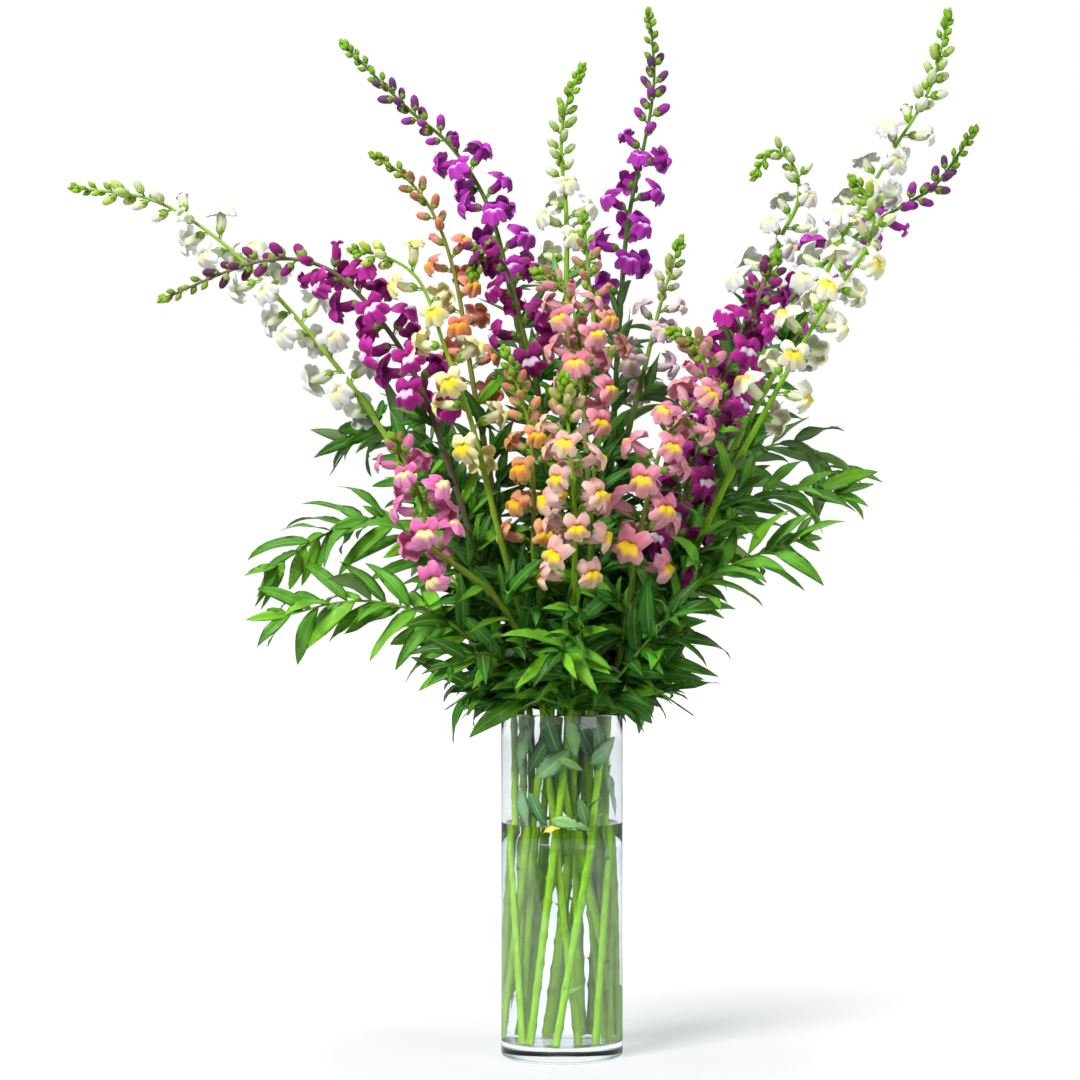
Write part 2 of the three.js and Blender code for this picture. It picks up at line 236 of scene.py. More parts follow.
def readStem(name):
    rings = ringsOf("stem_" + name, 8.5 * mm, 4)
    lowest = min(rings, key=lambda ring: ring[0][2])[0]
    rings = chained(rings, lowest)
    line = Line(np.array([r[0] for r in rings]))
    sleeve = np.array([v.co[:] for v in cadNodes["florets_" + name].data.vertices])
    inSleeve = [r[0] for r in rings if np.linalg.norm(sleeve - r[0], axis=1).min() < 5 * mm]
    neck = line.nearest(inSleeve[0])
    return {"line": line, "neck": neck, "rim": line.nearest(rings[2][0]), "rings": rings}


vaseLow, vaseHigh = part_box("vase")
waterLow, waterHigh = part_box("water")
vaseRadius = (vaseHigh.x - vaseLow.x) / 2
vaseHeight = vaseHigh.z
waterTop = waterHigh.z
vaseFloor = waterLow.z


# node groups that the materials share


def newGroup(name, inputs, outputs):
    group = bpy.data.node_groups.new(name, "ShaderNodeTree")
    kinds = {"colour": "NodeSocketColor", "value": "NodeSocketFloat", "vector": "NodeSocketVector"}
    for label, kind in inputs:
        group.interface.new_socket(name=label, in_out="INPUT", socket_type=kinds[kind])
    for label, kind in outputs:
        group.interface.new_socket(name=label, in_out="OUTPUT", socket_type=kinds[kind])
    entry = group.nodes.new("NodeGroupInput")
    leave = group.nodes.new("NodeGroupOutput")
    return group, entry, leave


def addNode(tree, kind, settings=None, inputs=None):
    # inputs holds plain numbers or the sockets that feed them
    node = tree.nodes.new(kind)
    for key, value in (settings or {}).items():
        setattr(node, key, value)
    for key, value in (inputs or {}).items():
        if isinstance(value, bpy.types.NodeSocket):
            tree.links.new(value, node.inputs[key])
        else:
            node.inputs[key].default_value = value
    return node


def addMath(tree, operation, a, b=0.0, clamp=False):
    node = addNode(tree, "ShaderNodeMath", {"operation": operation, "use_clamp": clamp}, {0: a, 1: b})
    return node.outputs[0]


def addMix(tree, factor, a, b, blend="MIX"):
    settings = {"data_type": "RGBA", "blend_type": blend}
    node = addNode(tree, "ShaderNodeMix", settings, {0: factor, 6: a, 7: b})
    return node.outputs[2]


def addSpread(tree, value, low, high):
    # value stretched so that low becomes 0 and high becomes 1
    node = addNode(tree, "ShaderNodeMapRange", {}, {0: value, 1: low, 2: high, 3: 0.0, 4: 1.0})
    return node.outputs[0]


def addNoise(tree, place, scale, detail):
    inputs = {"Vector": place, "Scale": scale, "Detail": detail}
    return addNode(tree, "ShaderNodeTexNoise", {}, inputs).outputs[0]


def makeMottle():
    # cloudy patches of a second tint
    inputs = [("Colour", "colour"), ("Tint", "colour"), ("Scale", "value"), ("Amount", "value")]
    group, entry, leave = newGroup("mottle", inputs, [("Colour", "colour"), ("Mask", "value")])
    place = addNode(group, "ShaderNodeTexCoord").outputs["Object"]
    noise = addNoise(group, place, entry.outputs["Scale"], 4.0)
    mask = addSpread(group, noise, 0.38, 0.68)
    amount = addMath(group, "MULTIPLY", mask, entry.outputs["Amount"])
    blend = addMix(group, amount, entry.outputs["Colour"], entry.outputs["Tint"])
    group.links.new(blend, leave.inputs["Colour"])
    group.links.new(mask, leave.inputs["Mask"])
    return group


def makeVeins():
    # fine lines that run along a petal, leaf or stalk and fade in and out
    inputs = [("Colour", "colour"), ("Line Colour", "colour")]
    inputs += [(label, "value") for label in ("Across", "Count", "Amount")]
    group, entry, leave = newGroup("veins", inputs, [("Colour", "colour"), ("Height", "value")])
    place = addNode(group, "ShaderNodeTexCoord").outputs["Object"]
    wobble = addNoise(group, place, 260.0, 2.0)
    turns = addMath(group, "MULTIPLY", entry.outputs["Across"], entry.outputs["Count"])
    phase = addMath(group, "ADD", turns, addMath(group, "MULTIPLY", wobble, 2.6))
    wave = addMath(group, "ABSOLUTE", addMath(group, "SINE", phase))
    lines = addMath(group, "POWER", addMath(group, "SUBTRACT", 1.0, wave), 3.0)
    amount = addMath(group, "MULTIPLY", lines, entry.outputs["Amount"])
    blend = addMix(group, amount, entry.outputs["Colour"], entry.outputs["Line Colour"])
    group.links.new(blend, leave.inputs["Colour"])
    group.links.new(lines, leave.inputs["Height"])
    return group


def makeGrain():
    # the fine uneven surface of plant skin
    group, entry, leave = newGroup("grain", [("Scale", "value"), ("Depth", "value")], [("Height", "value")])
    place = addNode(group, "ShaderNodeTexCoord").outputs["Object"]
    noise = addNoise(group, place, entry.outputs["Scale"], 3.0)
    height = addMath(group, "MULTIPLY", noise, entry.outputs["Depth"])
    group.links.new(height, leave.inputs["Height"])
    return group


mottleGroup = makeMottle()
veinsGroup = makeVeins()
grainGroup = makeGrain()


def newMaterial(name, principled):
    material = bpy.data.materials.new(name)
    material.use_nodes = True
    tree = material.node_tree
    tree.nodes.clear()
    shader = addNode(tree, "ShaderNodeBsdfPrincipled", {}, principled)
    output = addNode(tree, "ShaderNodeOutputMaterial", {}, {"Surface": shader.outputs[0]})
    return material, tree, shader, output


def readMarks(tree, title):
    node = addNode(tree, "ShaderNodeAttribute", {"attribute_name": title})
    parts = addNode(tree, "ShaderNodeSeparateColor", {}, {0: node.outputs["Color"]})
    return node.outputs["Color"], *parts.outputs[:3], node.outputs["Alpha"]


def placeGroup(tree, group, inputs):
    return addNode(tree, "ShaderNodeGroup", {"node_tree": group}, inputs)


def addMottle(tree, colour, tint, scale, amount):
    return placeGroup(tree, mottleGroup, {"Colour": colour, "Tint": tint, "Scale": scale, "Amount": amount})


def addVeins(tree, colour, line, across, count, amount):
    inputs = {"Colour": colour, "Line Colour": line, "Across": across, "Count": count, "Amount": amount}
    return placeGroup(tree, veinsGroup, inputs)


def withAlpha(rgb):
    return (float(rgb[0]), float(rgb[1]), float(rgb[2]), 1.0)


def bumpFrom(tree, height, strength, distance):
    inputs = {"Height": height, "Strength": strength, "Distance": distance}
    return addNode(tree, "ShaderNodeBump", {}, inputs).outputs[0]


# petals

# the tones of a set stand in this order; a palate mark shows only above spotFrom
petalTones = ["upper", "lower", "tube", "palate", "edge", "vein", "bud", "blush"]
petalColours = {
    "petalsWhite": {
        "slot": "petals_white", "tones": "f6f7f1 fbfbf7 dfe8bf f1ecaa ffffff e4e8cf b4cc62 e9eecb",
    },
    "petalsCream": {
        "slot": "petals_white", "tones": "edf1d6 f5f7e6 d3e2a0 e9eb9a fbfcf2 d9e2b4 8db63a dfe8b8",
    },
    "petalsYellow": {
        "slot": "petals_yellow", "tones": "f7f0a4 f8ee86 f0efba fbdc0c fbf8cc e6d75e b3c746 f4e65e",
    },
    "petalsLemon": {
        "slot": "petals_yellow", "tones": "f8f7dc f8f5c4 e9eec0 fadc12 fdfcee e8e4a0 9fc147 f3efac",
    },
    "petalsOrange": {
        "slot": "petals_orange", "tones": "e58876 ef8a30 e2907c fbb010 f2a488 cf6540 9c6a48 ec7a4a",
    },
    "petalsGold": {
        "slot": "petals_orange", "tones": "ec9c70 f39c34 e8a088 fcc414 f5b886 d8763a b07454 ef8448",
    },
    "petalsPeach": {
        "slot": "petals_peach", "tones": "efb2a8 f5c89c eec0b6 fcd810 f8d6c6 dc8c84 a3b04c ea9c98",
    },
    "petalsRose": {
        "slot": "petals_peach", "tones": "e2928a ee9f72 e0a094 f8b41c f0b4a4 c56c66 a8825a db7c78",
    },
    "petalsPink": {
        "slot": "petals_pink", "tones": "f25aa6 f77cba ea86bc fbeaa0 f498cc c93c88 8e6a4a e0489a",
    },
    "petalsSalmon": {
        "slot": "petals_salmon_pink", "tones": "e77a94 f096aa e8a4b2 fad41e f6b4be cc5674 8f7a45 e0688a",
    },
    "petalsPale": {
        "slot": "petals_pale_pink", "tones": "efc6d6 f3d4e0 ecd2da f5e4b8 f9e6ee d89cb8 a4bc5c e8b0c8",
    },
    "petalsMagenta": {
        "slot": "petals_magenta", "tones": "a8087e bc1494 9c1480 e8cce0 cc3aae 7c0660 5e2c4c 900668",
        "spotFrom": 0.7, "sheen": 0.05,
    },
    "petalsPurple": {
        "slot": "petals_purple", "tones": "b01ab0 c22cc0 a426a2 e0b6e2 d04cc8 84108a 624066 980e98",
        "spotFrom": 0.7, "sheen": 0.05,
    },
    "petalsDark": {
        "slot": "petals_dark_purple", "tones": "86085e 9c0e74 801062 e2cade b02890 5e0444 5e3a50 70064e",
        "spotFrom": 0.7, "sheen": 0.05,
    },
}
petalFinish = {
    "roughness": 0.6, "gloss": 0.22, "sheen": 0.15, "bump": 0.4,
    "glow": 0.14, "glowDepth": 0.003, "glowTint": (1.0, 0.75, 0.75),
}


def makePetalMaterial(name, look):
    shades = {key: withAlpha(tone(code)) for key, code in zip(petalTones, look["tones"].split())}
    # marks: lower lip, palate, distance from base to edge, inside of the flower
    # paint: greenness of a bud, random tint, shade, place across the petal
    principled = {
        "Roughness": petalFinish["roughness"],
        "Sheen Weight": look.get("sheen", petalFinish["sheen"]),
        "Subsurface Weight": petalFinish["glow"],
        "Subsurface Scale": petalFinish["glowDepth"],
        "Subsurface Radius": petalFinish["glowTint"],
        "Specular IOR Level": petalFinish["gloss"],
    }
    material, tree, shader, _ = newMaterial(name, principled)
    _, lower, palate, reach, inside = readMarks(tree, "marks")
    _, green, tint, shade, across = readMarks(tree, "paint")
    lips = addMix(tree, lower, shades["upper"], shades["lower"])
    lips = addMix(tree, addMath(tree, "MULTIPLY", tint, 0.6), lips, shades["blush"])
    mottle = addMottle(tree, lips, shades["edge"], 90.0, 0.45)
    lips = addMix(tree, addSpread(tree, reach, 0.82, 1.0), mottle.outputs["Colour"], shades["edge"])
    whole = addMix(tree, addSpread(tree, reach, 0.3, 0.62), shades["tube"], lips)
    veins = addVeins(tree, whole, shades["vein"], across, 30.0, 0.35)
    small = addSpread(tree, palate, look.get("spotFrom", 0.0), 1.0)
    inner = addMath(tree, "ADD", addMath(tree, "MULTIPLY", inside, 0.8), 0.2)
    spot = addMath(tree, "MULTIPLY", small, inner)
    whole = addMix(tree, spot, veins.outputs["Colour"], shades["palate"])
    whole = addMix(tree, green, whole, shades["bud"])
    dim = addMath(tree, "SUBTRACT", 1.0, addMath(tree, "MULTIPLY", shade, 0.45))
    dimmed = addNode(tree, "ShaderNodeCombineColor", {}, {0: dim, 1: dim, 2: dim})
    whole = addMix(tree, 1.0, whole, dimmed.outputs[0], "MULTIPLY")
    tree.links.new(whole, shader.inputs["Base Color"])
    grain = placeGroup(tree, grainGroup, {"Scale": 900.0, "Depth": 0.5})
    height = addMath(tree, "ADD", veins.outputs["Height"], grain.outputs["Height"])
    tree.links.new(bumpFrom(tree, height, petalFinish["bump"], 0.0004), shader.inputs["Normal"])
    return material


petalMaterials = {name: makePetalMaterial(name, look) for name, look in petalColours.items()}


# one floret, in millimetres, facing +X with its upper lip towards +Z
# The outlines hold (sideways, up) for half a flower, from the notch of the upper lip, over its lobe, the
# corner of the mouth and the side lobe, to the middle of the lower lip.

edgeOutline = [
    (0, 10.2), (4.6, 15.2), (10.6, 14.8), (13.4, 8.8), (8.6, 1.4),
    (13.0, -3.2), (11.4, -10.0), (5.4, -8.6), (4.4, -12.6), (0, -13.6),
]
mouthOutline = [
    (0, 5.6), (2.4, 6.0), (4.8, 5.2), (6.8, 3.0), (7.4, 0.8),
    (6.8, 2.2), (5.2, 4.4), (3.2, 5.2), (1.4, 4.5), (0, 3.9),
]
lipSteps = [0, 0.14, 0.32, 0.56, 0.82, 1]
upperReach = [21.4, 23.0, 23.6, 22.0, 18.2, 14.4]
lowerReach = [20.6, 24.8, 27.2, 25.8, 22.2, 18.6]
cornerReach = [19.6, 20.2, 20.8, 20.8, 20.2, 19.6]
budReach = [19, 21.2, 23.4, 25.2, 26.6, 27.6]
budRadius = [4.9, 4.6, 3.8, 2.6, 1.4, 0.2]
tubeRings = [(0, 1.5, 0), (3.5, 3.9, 1.0), (9.5, 4.2, 0.5), (14.5, 5.0, 0.3)]


def floretCage(openness):
    # rows of control points from the base to the edge
    turn = np.linspace(0, math.pi, len(edgeOutline))
    sideways, up = np.sin(turn), np.cos(turn)
    lower = np.where(turn > math.pi / 2, 1.0, 0.0)
    rows = []
    for x, radius, pouch in tubeRings:
        rows.append(np.stack([np.full(len(turn), x), sideways * radius, up * (radius + pouch * lower)], -1))
    edge, mouth = np.array(edgeOutline, float), np.array(mouthOutline, float)
    throatPlace = np.full(len(turn), 17.8)
    throat = np.stack([throatPlace, mouth[:, 0] * 0.9, np.where(lower > 0, -1.8, mouth[:, 1] * 0.86)], -1)
    closed = np.stack([throatPlace, sideways * 5.2, up * 5.2], -1)
    rows.append(mix(closed, throat, openness))
    corner = 1 - ease(np.abs(turn - math.pi * 4 / 9) / 0.5)
    lips = zip(lipSteps, upperReach, lowerReach, cornerReach, budReach, budRadius)
    for t, high, low, side, reach, radius in lips:
        x = mix(mix(high, low, lower), side, corner)
        opened = np.column_stack([x, mix(mouth, edge, t)])
        closed = np.stack([np.full(len(turn), reach), sideways * radius, up * radius], -1)
        rows.append(mix(closed, opened, openness))
    return np.array(rows)


fullRows = [0, 0.5, 1, 2.5, 4, 4.6, 5.2, 6, 7, 8, 9, 9.6, 10]
budRows = [0, 0.5, 1, 3, 5, 7, 8.5, 10]
throatRow = 4
ruffleCounts = (5, 7, 10, 12)


def floretShape(openness, ruffle, rng, rowPlaces, halfColumns):
    # a thin closed shell: the outside from base to edge, then the inside back down to the throat
    cage = floretCage(openness)
    places = np.array(rowPlaces)
    cage = np.stack([spline(cage[:, k], places / (len(cage) - 1)) for k in range(cage.shape[1])], axis=1)
    across = np.linspace(0, 1, halfColumns + 1)
    half = np.stack([spline(ring, across) for ring in cage])
    half[:, 0, 1] = half[:, -1, 1] = 0
    other = half[:, -2:0:-1] * [1, -1, 1]
    outer = np.concatenate([half, other], axis=1)
    columns = outer.shape[1]
    around = np.concatenate([across, 2 - across[-2:0:-1]]) * math.pi
    rise = (places / 10)[:, None]
    # ruffles near the edge: in and out along the flower, and a little to the side
    turn = 2 * math.pi
    waves = sum(rng.uniform(0.6, 1.0) * np.sin(around * k + rng.uniform(0, turn)) for k in ruffleCounts)
    waves = waves * 0.8
    strength = ruffle * openness * ease((rise - 0.6) / 0.4)
    outer[..., 0] += strength * waves
    outer[..., 2] += 0.45 * strength * np.roll(waves, 2)
    outer[..., 1] += 0.35 * strength * np.roll(waves, 4)
    lean = rng.uniform(-0.08, 0.08) * openness
    outer[..., 1] += outer[..., 2] * lean
    ahead = np.gradient(outer, axis=0)
    beside = np.roll(outer, -1, axis=1) - np.roll(outer, 1, axis=1)
    normals = np.cross(ahead, beside)
    normals /= np.maximum(np.linalg.norm(normals, axis=2, keepdims=True), 1e-9)
    deepest = int(np.argmax(places >= throatRow))
    thick = mix(0.5, 0.24, rise)[..., None]
    inner = (outer - normals * thick)[deepest:][::-1]
    verts = np.concatenate([outer.reshape(-1, 3), inner.reshape(-1, 3)])
    total = 2 * len(places) - deepest
    quads = gridFaces(total, columns, flip=True)
    caps = np.array([np.arange(columns), np.arange(columns)[::-1] + (total - 1) * columns])
    down = np.where(around > math.pi, 2 * math.pi - around, around) / math.pi
    lowerSide = ease((down - 0.42) / 0.1) * np.ones_like(rise)
    palate = ease((rise - 0.43) / 0.05) * ease((0.84 - rise) / 0.12) * ease((down - 0.54) / 0.1)
    marks = np.zeros((len(places), columns, 4))
    marks[..., 0] = lowerSide
    marks[..., 1] = palate * openness
    marks[..., 2] = rise
    inside = marks[deepest:][::-1].copy()
    inside[..., 3] = 1
    marks = np.concatenate([marks.reshape(-1, 4), inside.reshape(-1, 4)])
    lateral = np.tile(around / (2 * math.pi), total)
    return {"verts": verts * mm, "faces": [quads, caps], "marks": marks, "across": lateral}


shapeRng = random.Random(11)
openFlorets = [floretShape(1.0, mix(0.9, 1.8, k / 7), shapeRng, fullRows, 14) for k in range(8)]
youngFlorets = [floretShape(mix(0.3, 0.7, k / 3), 0.6, shapeRng, fullRows, 12) for k in range(4)]
plumpBud = floretShape(0.0, 0.0, shapeRng, budRows, 6)
plumpBud["verts"] *= [0.78, 1.08, 1.08]
print("floret shapes made")


def placeShape(pile, shape, origin, axes, size, paint, slot=0):
    verts = origin + (shape["verts"] * size) @ axes
    colours = np.tile(np.append(paint, 0.0), (len(verts), 1))
    colours[:, 3] = shape["across"]
    pile.add(verts, shape["faces"], shape["marks"], colours, slot)


# green parts: marks hold across, along, underside and random tint; paint holds the colour

stalkFinish = {"roughness": 0.42, "gloss": 0.1, "glow": 0.12, "glowDepth": 0.006, "bump": 0.4}
leafFinish = {
    "roughness": 0.42, "gloss": 0.26, "glow": 0.08, "glowDepth": 0.002, "bump": 0.5,
    "rib": "86ab4e", "shadow": "17400f",
}


def makeStalkMaterial():
    principled = {
        "Roughness": stalkFinish["roughness"],
        "Specular IOR Level": stalkFinish["gloss"],
        "Subsurface Weight": stalkFinish["glow"],
        "Subsurface Scale": stalkFinish["glowDepth"],
    }
    material, tree, shader, _ = newMaterial("stalkGreen", principled)
    paint, _, _, _, _ = readMarks(tree, "paint")
    _, across, _, _, _ = readMarks(tree, "marks")
    darker = addMix(tree, 1.0, paint, (0.62, 0.66, 0.5, 1.0), "MULTIPLY")
    mottle = addMottle(tree, paint, darker, 120.0, 0.55)
    lighter = addMix(tree, 0.4, mottle.outputs["Colour"], (0.5, 0.72, 0.06, 1.0))
    veins = addVeins(tree, mottle.outputs["Colour"], lighter, across, 18.0, 0.5)
    tree.links.new(veins.outputs["Colour"], shader.inputs["Base Color"])
    grain = placeGroup(tree, grainGroup, {"Scale": 700.0, "Depth": 0.6})
    height = addMath(tree, "ADD", veins.outputs["Height"], grain.outputs["Height"])
    tree.links.new(bumpFrom(tree, height, stalkFinish["bump"], 0.0003), shader.inputs["Normal"])
    return material


def makeLeafMaterial():
    principled = {
        "Roughness": leafFinish["roughness"],
        "Specular IOR Level": leafFinish["gloss"],
        "Subsurface Weight": leafFinish["glow"],
        "Subsurface Scale": leafFinish["glowDepth"],
    }
    material, tree, shader, _ = newMaterial("leafGreen", principled)
    paint, _, _, _, _ = readMarks(tree, "paint")
    _, across, along, under, _ = readMarks(tree, "marks")
    mottle = addMottle(tree, paint, withAlpha(tone(leafFinish["shadow"])), 55.0, 0.5)
    offCentre = addMath(tree, "ABSOLUTE", addMath(tree, "SUBTRACT", across, 0.5))
    rib = addSpread(tree, offCentre, 0.07, 0.015)
    # side veins leave the midrib forwards
    slanted = addMath(tree, "SUBTRACT", addMath(tree, "MULTIPLY", along, 1.6), offCentre)
    ribTone = withAlpha(tone(leafFinish["rib"]))
    veins = addVeins(tree, mottle.outputs["Colour"], ribTone, slanted, 26.0, 0.16)
    ribbed = addMix(tree, addMath(tree, "MULTIPLY", rib, 0.75), veins.outputs["Colour"], ribTone)
    paler = addMix(tree, 0.45, ribbed, (0.30, 0.42, 0.22, 1.0))
    whole = addMix(tree, under, ribbed, paler)
    tree.links.new(whole, shader.inputs["Base Color"])
    rough = addMath(tree, "ADD", addMath(tree, "MULTIPLY", under, 0.3), leafFinish["roughness"])
    tree.links.new(rough, shader.inputs["Roughness"])
    height = addMath(tree, "SUBTRACT", addMath(tree, "MULTIPLY", veins.outputs["Height"], -0.6), rib)
    tree.links.new(bumpFrom(tree, height, leafFinish["bump"], 0.0005), shader.inputs["Normal"])
    return material


stalkMaterial = makeStalkMaterial()
leafMaterial = makeLeafMaterial()


def addLeaf(pile, base, direction, upSide, shape, colour, tint, slot=0, rows=9):
    # a thin closed blade; shape gives length, width, droop, twist, fold and wave
    length, width = shape["length"], shape["width"]
    side = unit(np.cross(upSide, direction))
    u = np.linspace(0, 1, rows)
    bend = shape["droop"] * u**1.4 + shape.get("kick", 0.0) * u**3
    step = length / (rows - 1)
    forwardGo = np.concatenate([[0], np.cumsum(np.cos(bend[:-1]) * step)])
    upGo = -np.concatenate([[0], np.cumsum(np.sin(bend[:-1]) * step)])
    upSide = unit(np.cross(direction, side))
    middle = base + np.outer(forwardGo, direction) + np.outer(upGo, upSide)
    tangent = np.outer(np.cos(bend), direction) - np.outer(np.sin(bend), upSide)
    normal = np.outer(np.sin(bend), direction) + np.outer(np.cos(bend), upSide)
    twist = shape["twist"] * u
    lateral = np.outer(np.cos(twist), side) + normal * np.sin(twist)[:, None]
    normal = np.cross(tangent, lateral)
    halfWidth = width / 2 * (0.07 + 0.95 * np.sin(math.pi * u**0.72) ** 0.9)
    halfWidth[-1] = 0.02 * width
    v = np.array([-1, -0.5, 0, 0.5, 1.0])
    lift = shape["fold"] * np.abs(v) + 0.0
    waves = shape["wave"] * np.sin(u * 9 + tint * 20)[:, None] * (np.abs(v) ** 2) * np.sign(v + 1e-9)
    top = (
        middle[:, None]
        + lateral[:, None] * (v[None, :, None] * halfWidth[:, None, None])
        + normal[:, None] * ((lift[None] * halfWidth[:, None] + waves * halfWidth[:, None])[..., None])
    )
    thickness = 0.35 * mm
    low = top[:, 1:4] - normal[:, None] * thickness
    n = len(v)
    verts = np.concatenate([top.reshape(-1, 3), low.reshape(-1, 3)])
    start = rows * n
    topQuads = gridFaces(rows, n, closed=False, flip=True)
    # underside columns: left edge, three inner ones, right edge
    index = np.empty((rows, n), int)
    index[:, 0] = np.arange(rows) * n
    index[:, 4] = np.arange(rows) * n + 4
    for k in range(3):
        index[:, k + 1] = start + np.arange(rows) * 3 + k
    lowQuads = np.stack([index[:-1, :-1], index[:-1, 1:], index[1:, 1:], index[1:, :-1]], -1).reshape(-1, 4)
    ends = []
    for r, flip in ((0, False), (rows - 1, True)):
        ring = list(range(r * n, r * n + n)) + [start + r * 3 + 2, start + r * 3 + 1, start + r * 3]
        ends.append(ring[::-1] if flip else ring)
    marks = np.zeros((len(verts), 4))
    marks[:start, 0] = np.tile((v + 1) / 2, rows)
    marks[start:, 0] = np.tile((v[1:4] + 1) / 2, rows)
    marks[:start, 1] = np.repeat(u, n)
    marks[start:, 1] = np.repeat(u, 3)
    marks[start:, 2] = 1
    marks[:, 3] = tint
    pile.add(verts, [topQuads, lowQuads, np.array(ends)], marks, np.append(colour, 1.0), slot)


def addCalyx(pile, origin, axes, size, colour, slot=0):
    # five green sepals in a lobed cup round the base of a floret
    columns = 15
    angles = np.arange(columns) / columns * 2 * math.pi
    lobes = 0.5 + 0.5 * np.cos(angles * 5)
    rings = []
    for x, r in ((-0.6, 0.9), (0.4, 2.6), (2.4, 4.2)):
        rings.append(np.stack([np.full(columns, x), np.cos(angles) * r, np.sin(angles) * r], -1))
    reach = 3.4 + 4.4 * lobes
    width = 4.7 + 0.5 * lobes
    edge = np.stack([reach, np.cos(angles) * width, np.sin(angles) * width], -1)
    rings.append(edge)
    rings.append(edge * [1, 0.9, 0.9] - [0.3, 0, 0])
    verts = np.concatenate(rings) * size * mm @ axes + origin
    faces = [gridFaces(len(rings), columns), np.array([np.arange(columns)[::-1]])]
    faces.append(np.array([np.arange(columns) + (len(rings) - 1) * columns]))
    marks = np.zeros((len(verts), 4))
    marks[:, 0] = np.tile(angles / (2 * math.pi), len(rings))
    pile.add(verts, faces, marks, np.append(colour, 1.0), slot)


def addGreenBud(pile, origin, axes, length, colour):
    # a small unopened bud, still closed in its sepals
    columns = 7
    angles = np.arange(columns) / columns * 2 * math.pi
    rings = []
    for x, r in ((0, 0.12), (0.15, 0.27), (0.45, 0.36), (0.75, 0.26), (0.95, 0.1), (1.0, 0.02)):
        ridge = r * (1 + 0.08 * np.cos(angles * 3.5))
        rings.append(np.stack([np.full(columns, x), np.cos(angles) * ridge, np.sin(angles) * ridge], -1))
    verts = np.concatenate(rings) * length @ axes + origin
    caps = np.array([np.arange(columns)[::-1], np.arange(columns) + (len(rings) - 1) * columns])
    marks = np.zeros((len(verts), 4))
    marks[:, 0] = np.tile(angles / (2 * math.pi), len(rings))
    paint = np.ones((len(verts), 4))
    paint[:, :3] = np.asarray(colour) * np.repeat([0.8, 0.95, 1.05, 1.1, 0.9, 0.8], columns)[:, None]
    pile.add(verts, [gridFaces(len(rings), columns), caps], marks, paint)


def addRod(pile, points, radii, colours, sides=10, flutes=0.0, slot=0):
    verts, faces = tube(points, radii, sides, flutes)
    marks = np.zeros((len(verts), 4))
    marks[:, 0] = np.tile(np.arange(sides) / sides, len(points))
    marks[:, 1] = np.repeat(np.linspace(0, 1, len(points)), sides)
    colours = np.asarray(colours, float)
    if colours.ndim == 2:
        colours = np.repeat(colours, sides, axis=0)
    paint = np.ones((len(verts), 4))
    paint[:, :3] = colours
    pile.add(verts, faces, marks, paint, slot)


# The flowering stems: open and buds count the florets, openShare is how far up the spike they are open,
# size scales a floret, bare is how few leaves there are, and stalk and leaf are tones.

footGreen, rimGreen = tone("82b200"), tone("72a604")
stalkOwn = 0.3
plantTraits = ["petal", "open", "buds", "openShare", "size", "bare", "stalk", "leaf"]
snapdragons = {
    "white_left": ("petalsWhite", 19, 13, 0.74, 1.0, 0.45, "9cc046", "37762a"),
    "magenta_left": ("petalsMagenta", 18, 17, 0.55, 1.0, 0, "7b6a60", "2c6626"),
    "purple_upper_left": ("petalsPurple", 14, 22, 0.52, 0.95, 0, "56702f", "2c6826"),
    "orange_left": ("petalsOrange", 12, 14, 0.62, 0.88, 0, "8c8a3e", "347028"),
    "yellow_left": ("petalsYellow", 11, 7, 0.84, 0.95, 0.7, "8fb63a", "3f8030"),
    "pink_left": ("petalsPink", 12, 5, 0.85, 0.92, 0.5, "7f8c38", "347028"),
    "white_centre": ("petalsCream", 9, 20, 0.45, 0.85, 0, "84b034", "468a34"),
    "purple_upper_centre": ("petalsPurple", 12, 18, 0.56, 1.0, 0, "4f7430", "2e6a28"),
    "peach_centre": ("petalsRose", 8, 10, 0.55, 0.85, 0, "8aa844", "347028"),
    "pale_pink_right": ("petalsPale", 8, 12, 0.6, 0.85, 0.3, "8fae54", "37762c"),
    "pink_centre": ("petalsSalmon", 15, 8, 0.8, 0.92, 0, "86a040", "347028"),
    "peach_front": ("petalsPeach", 17, 14, 0.78, 0.92, 0.65, "8cb62c", "37762a"),
    "orange_centre": ("petalsGold", 12, 12, 0.66, 0.85, 0, "8c9a3c", "347028"),
    "dark_purple_centre": ("petalsDark", 9, 8, 0.75, 0.9, 0, "5c6c34", "2c6826"),
    "pink_right": ("petalsSalmon", 18, 12, 0.8, 1.0, 0.4, "7c8e3c", "347028"),
    "magenta_right": ("petalsMagenta", 15, 8, 0.78, 1.0, 0, "7a665c", "2c6626"),
    "purple_right_far": ("petalsPurple", 16, 18, 0.62, 0.95, 0, "50702e", "2c6826"),
    "white_right_upper": ("petalsWhite", 20, 18, 0.72, 0.98, 0, "86b43c", "37762a"),
    "white_droop_right": ("petalsWhite", 10, 12, 0.6, 0.92, 0, "7fb036", "3f8030"),
    "yellow_right": ("petalsLemon", 15, 9, 0.8, 0.95, 0.6, "82b82e", "3f8030"),
    "magenta_low_right": ("petalsDark", 15, 7, 0.85, 0.98, 0, "6a5a48", "2c6626"),
}
foliageTones = {"light": "7cb22e", "dark": "143c10"}
leafHabit = {
    "spacing": 7.4 * mm, "lowLength": 74 * mm, "highLength": 50 * mm, "widthShare": 0.22,
    "tuftEvery": 3, "tuftLeaves": 5, "tuftLength": 36 * mm, "collar": 6,
}


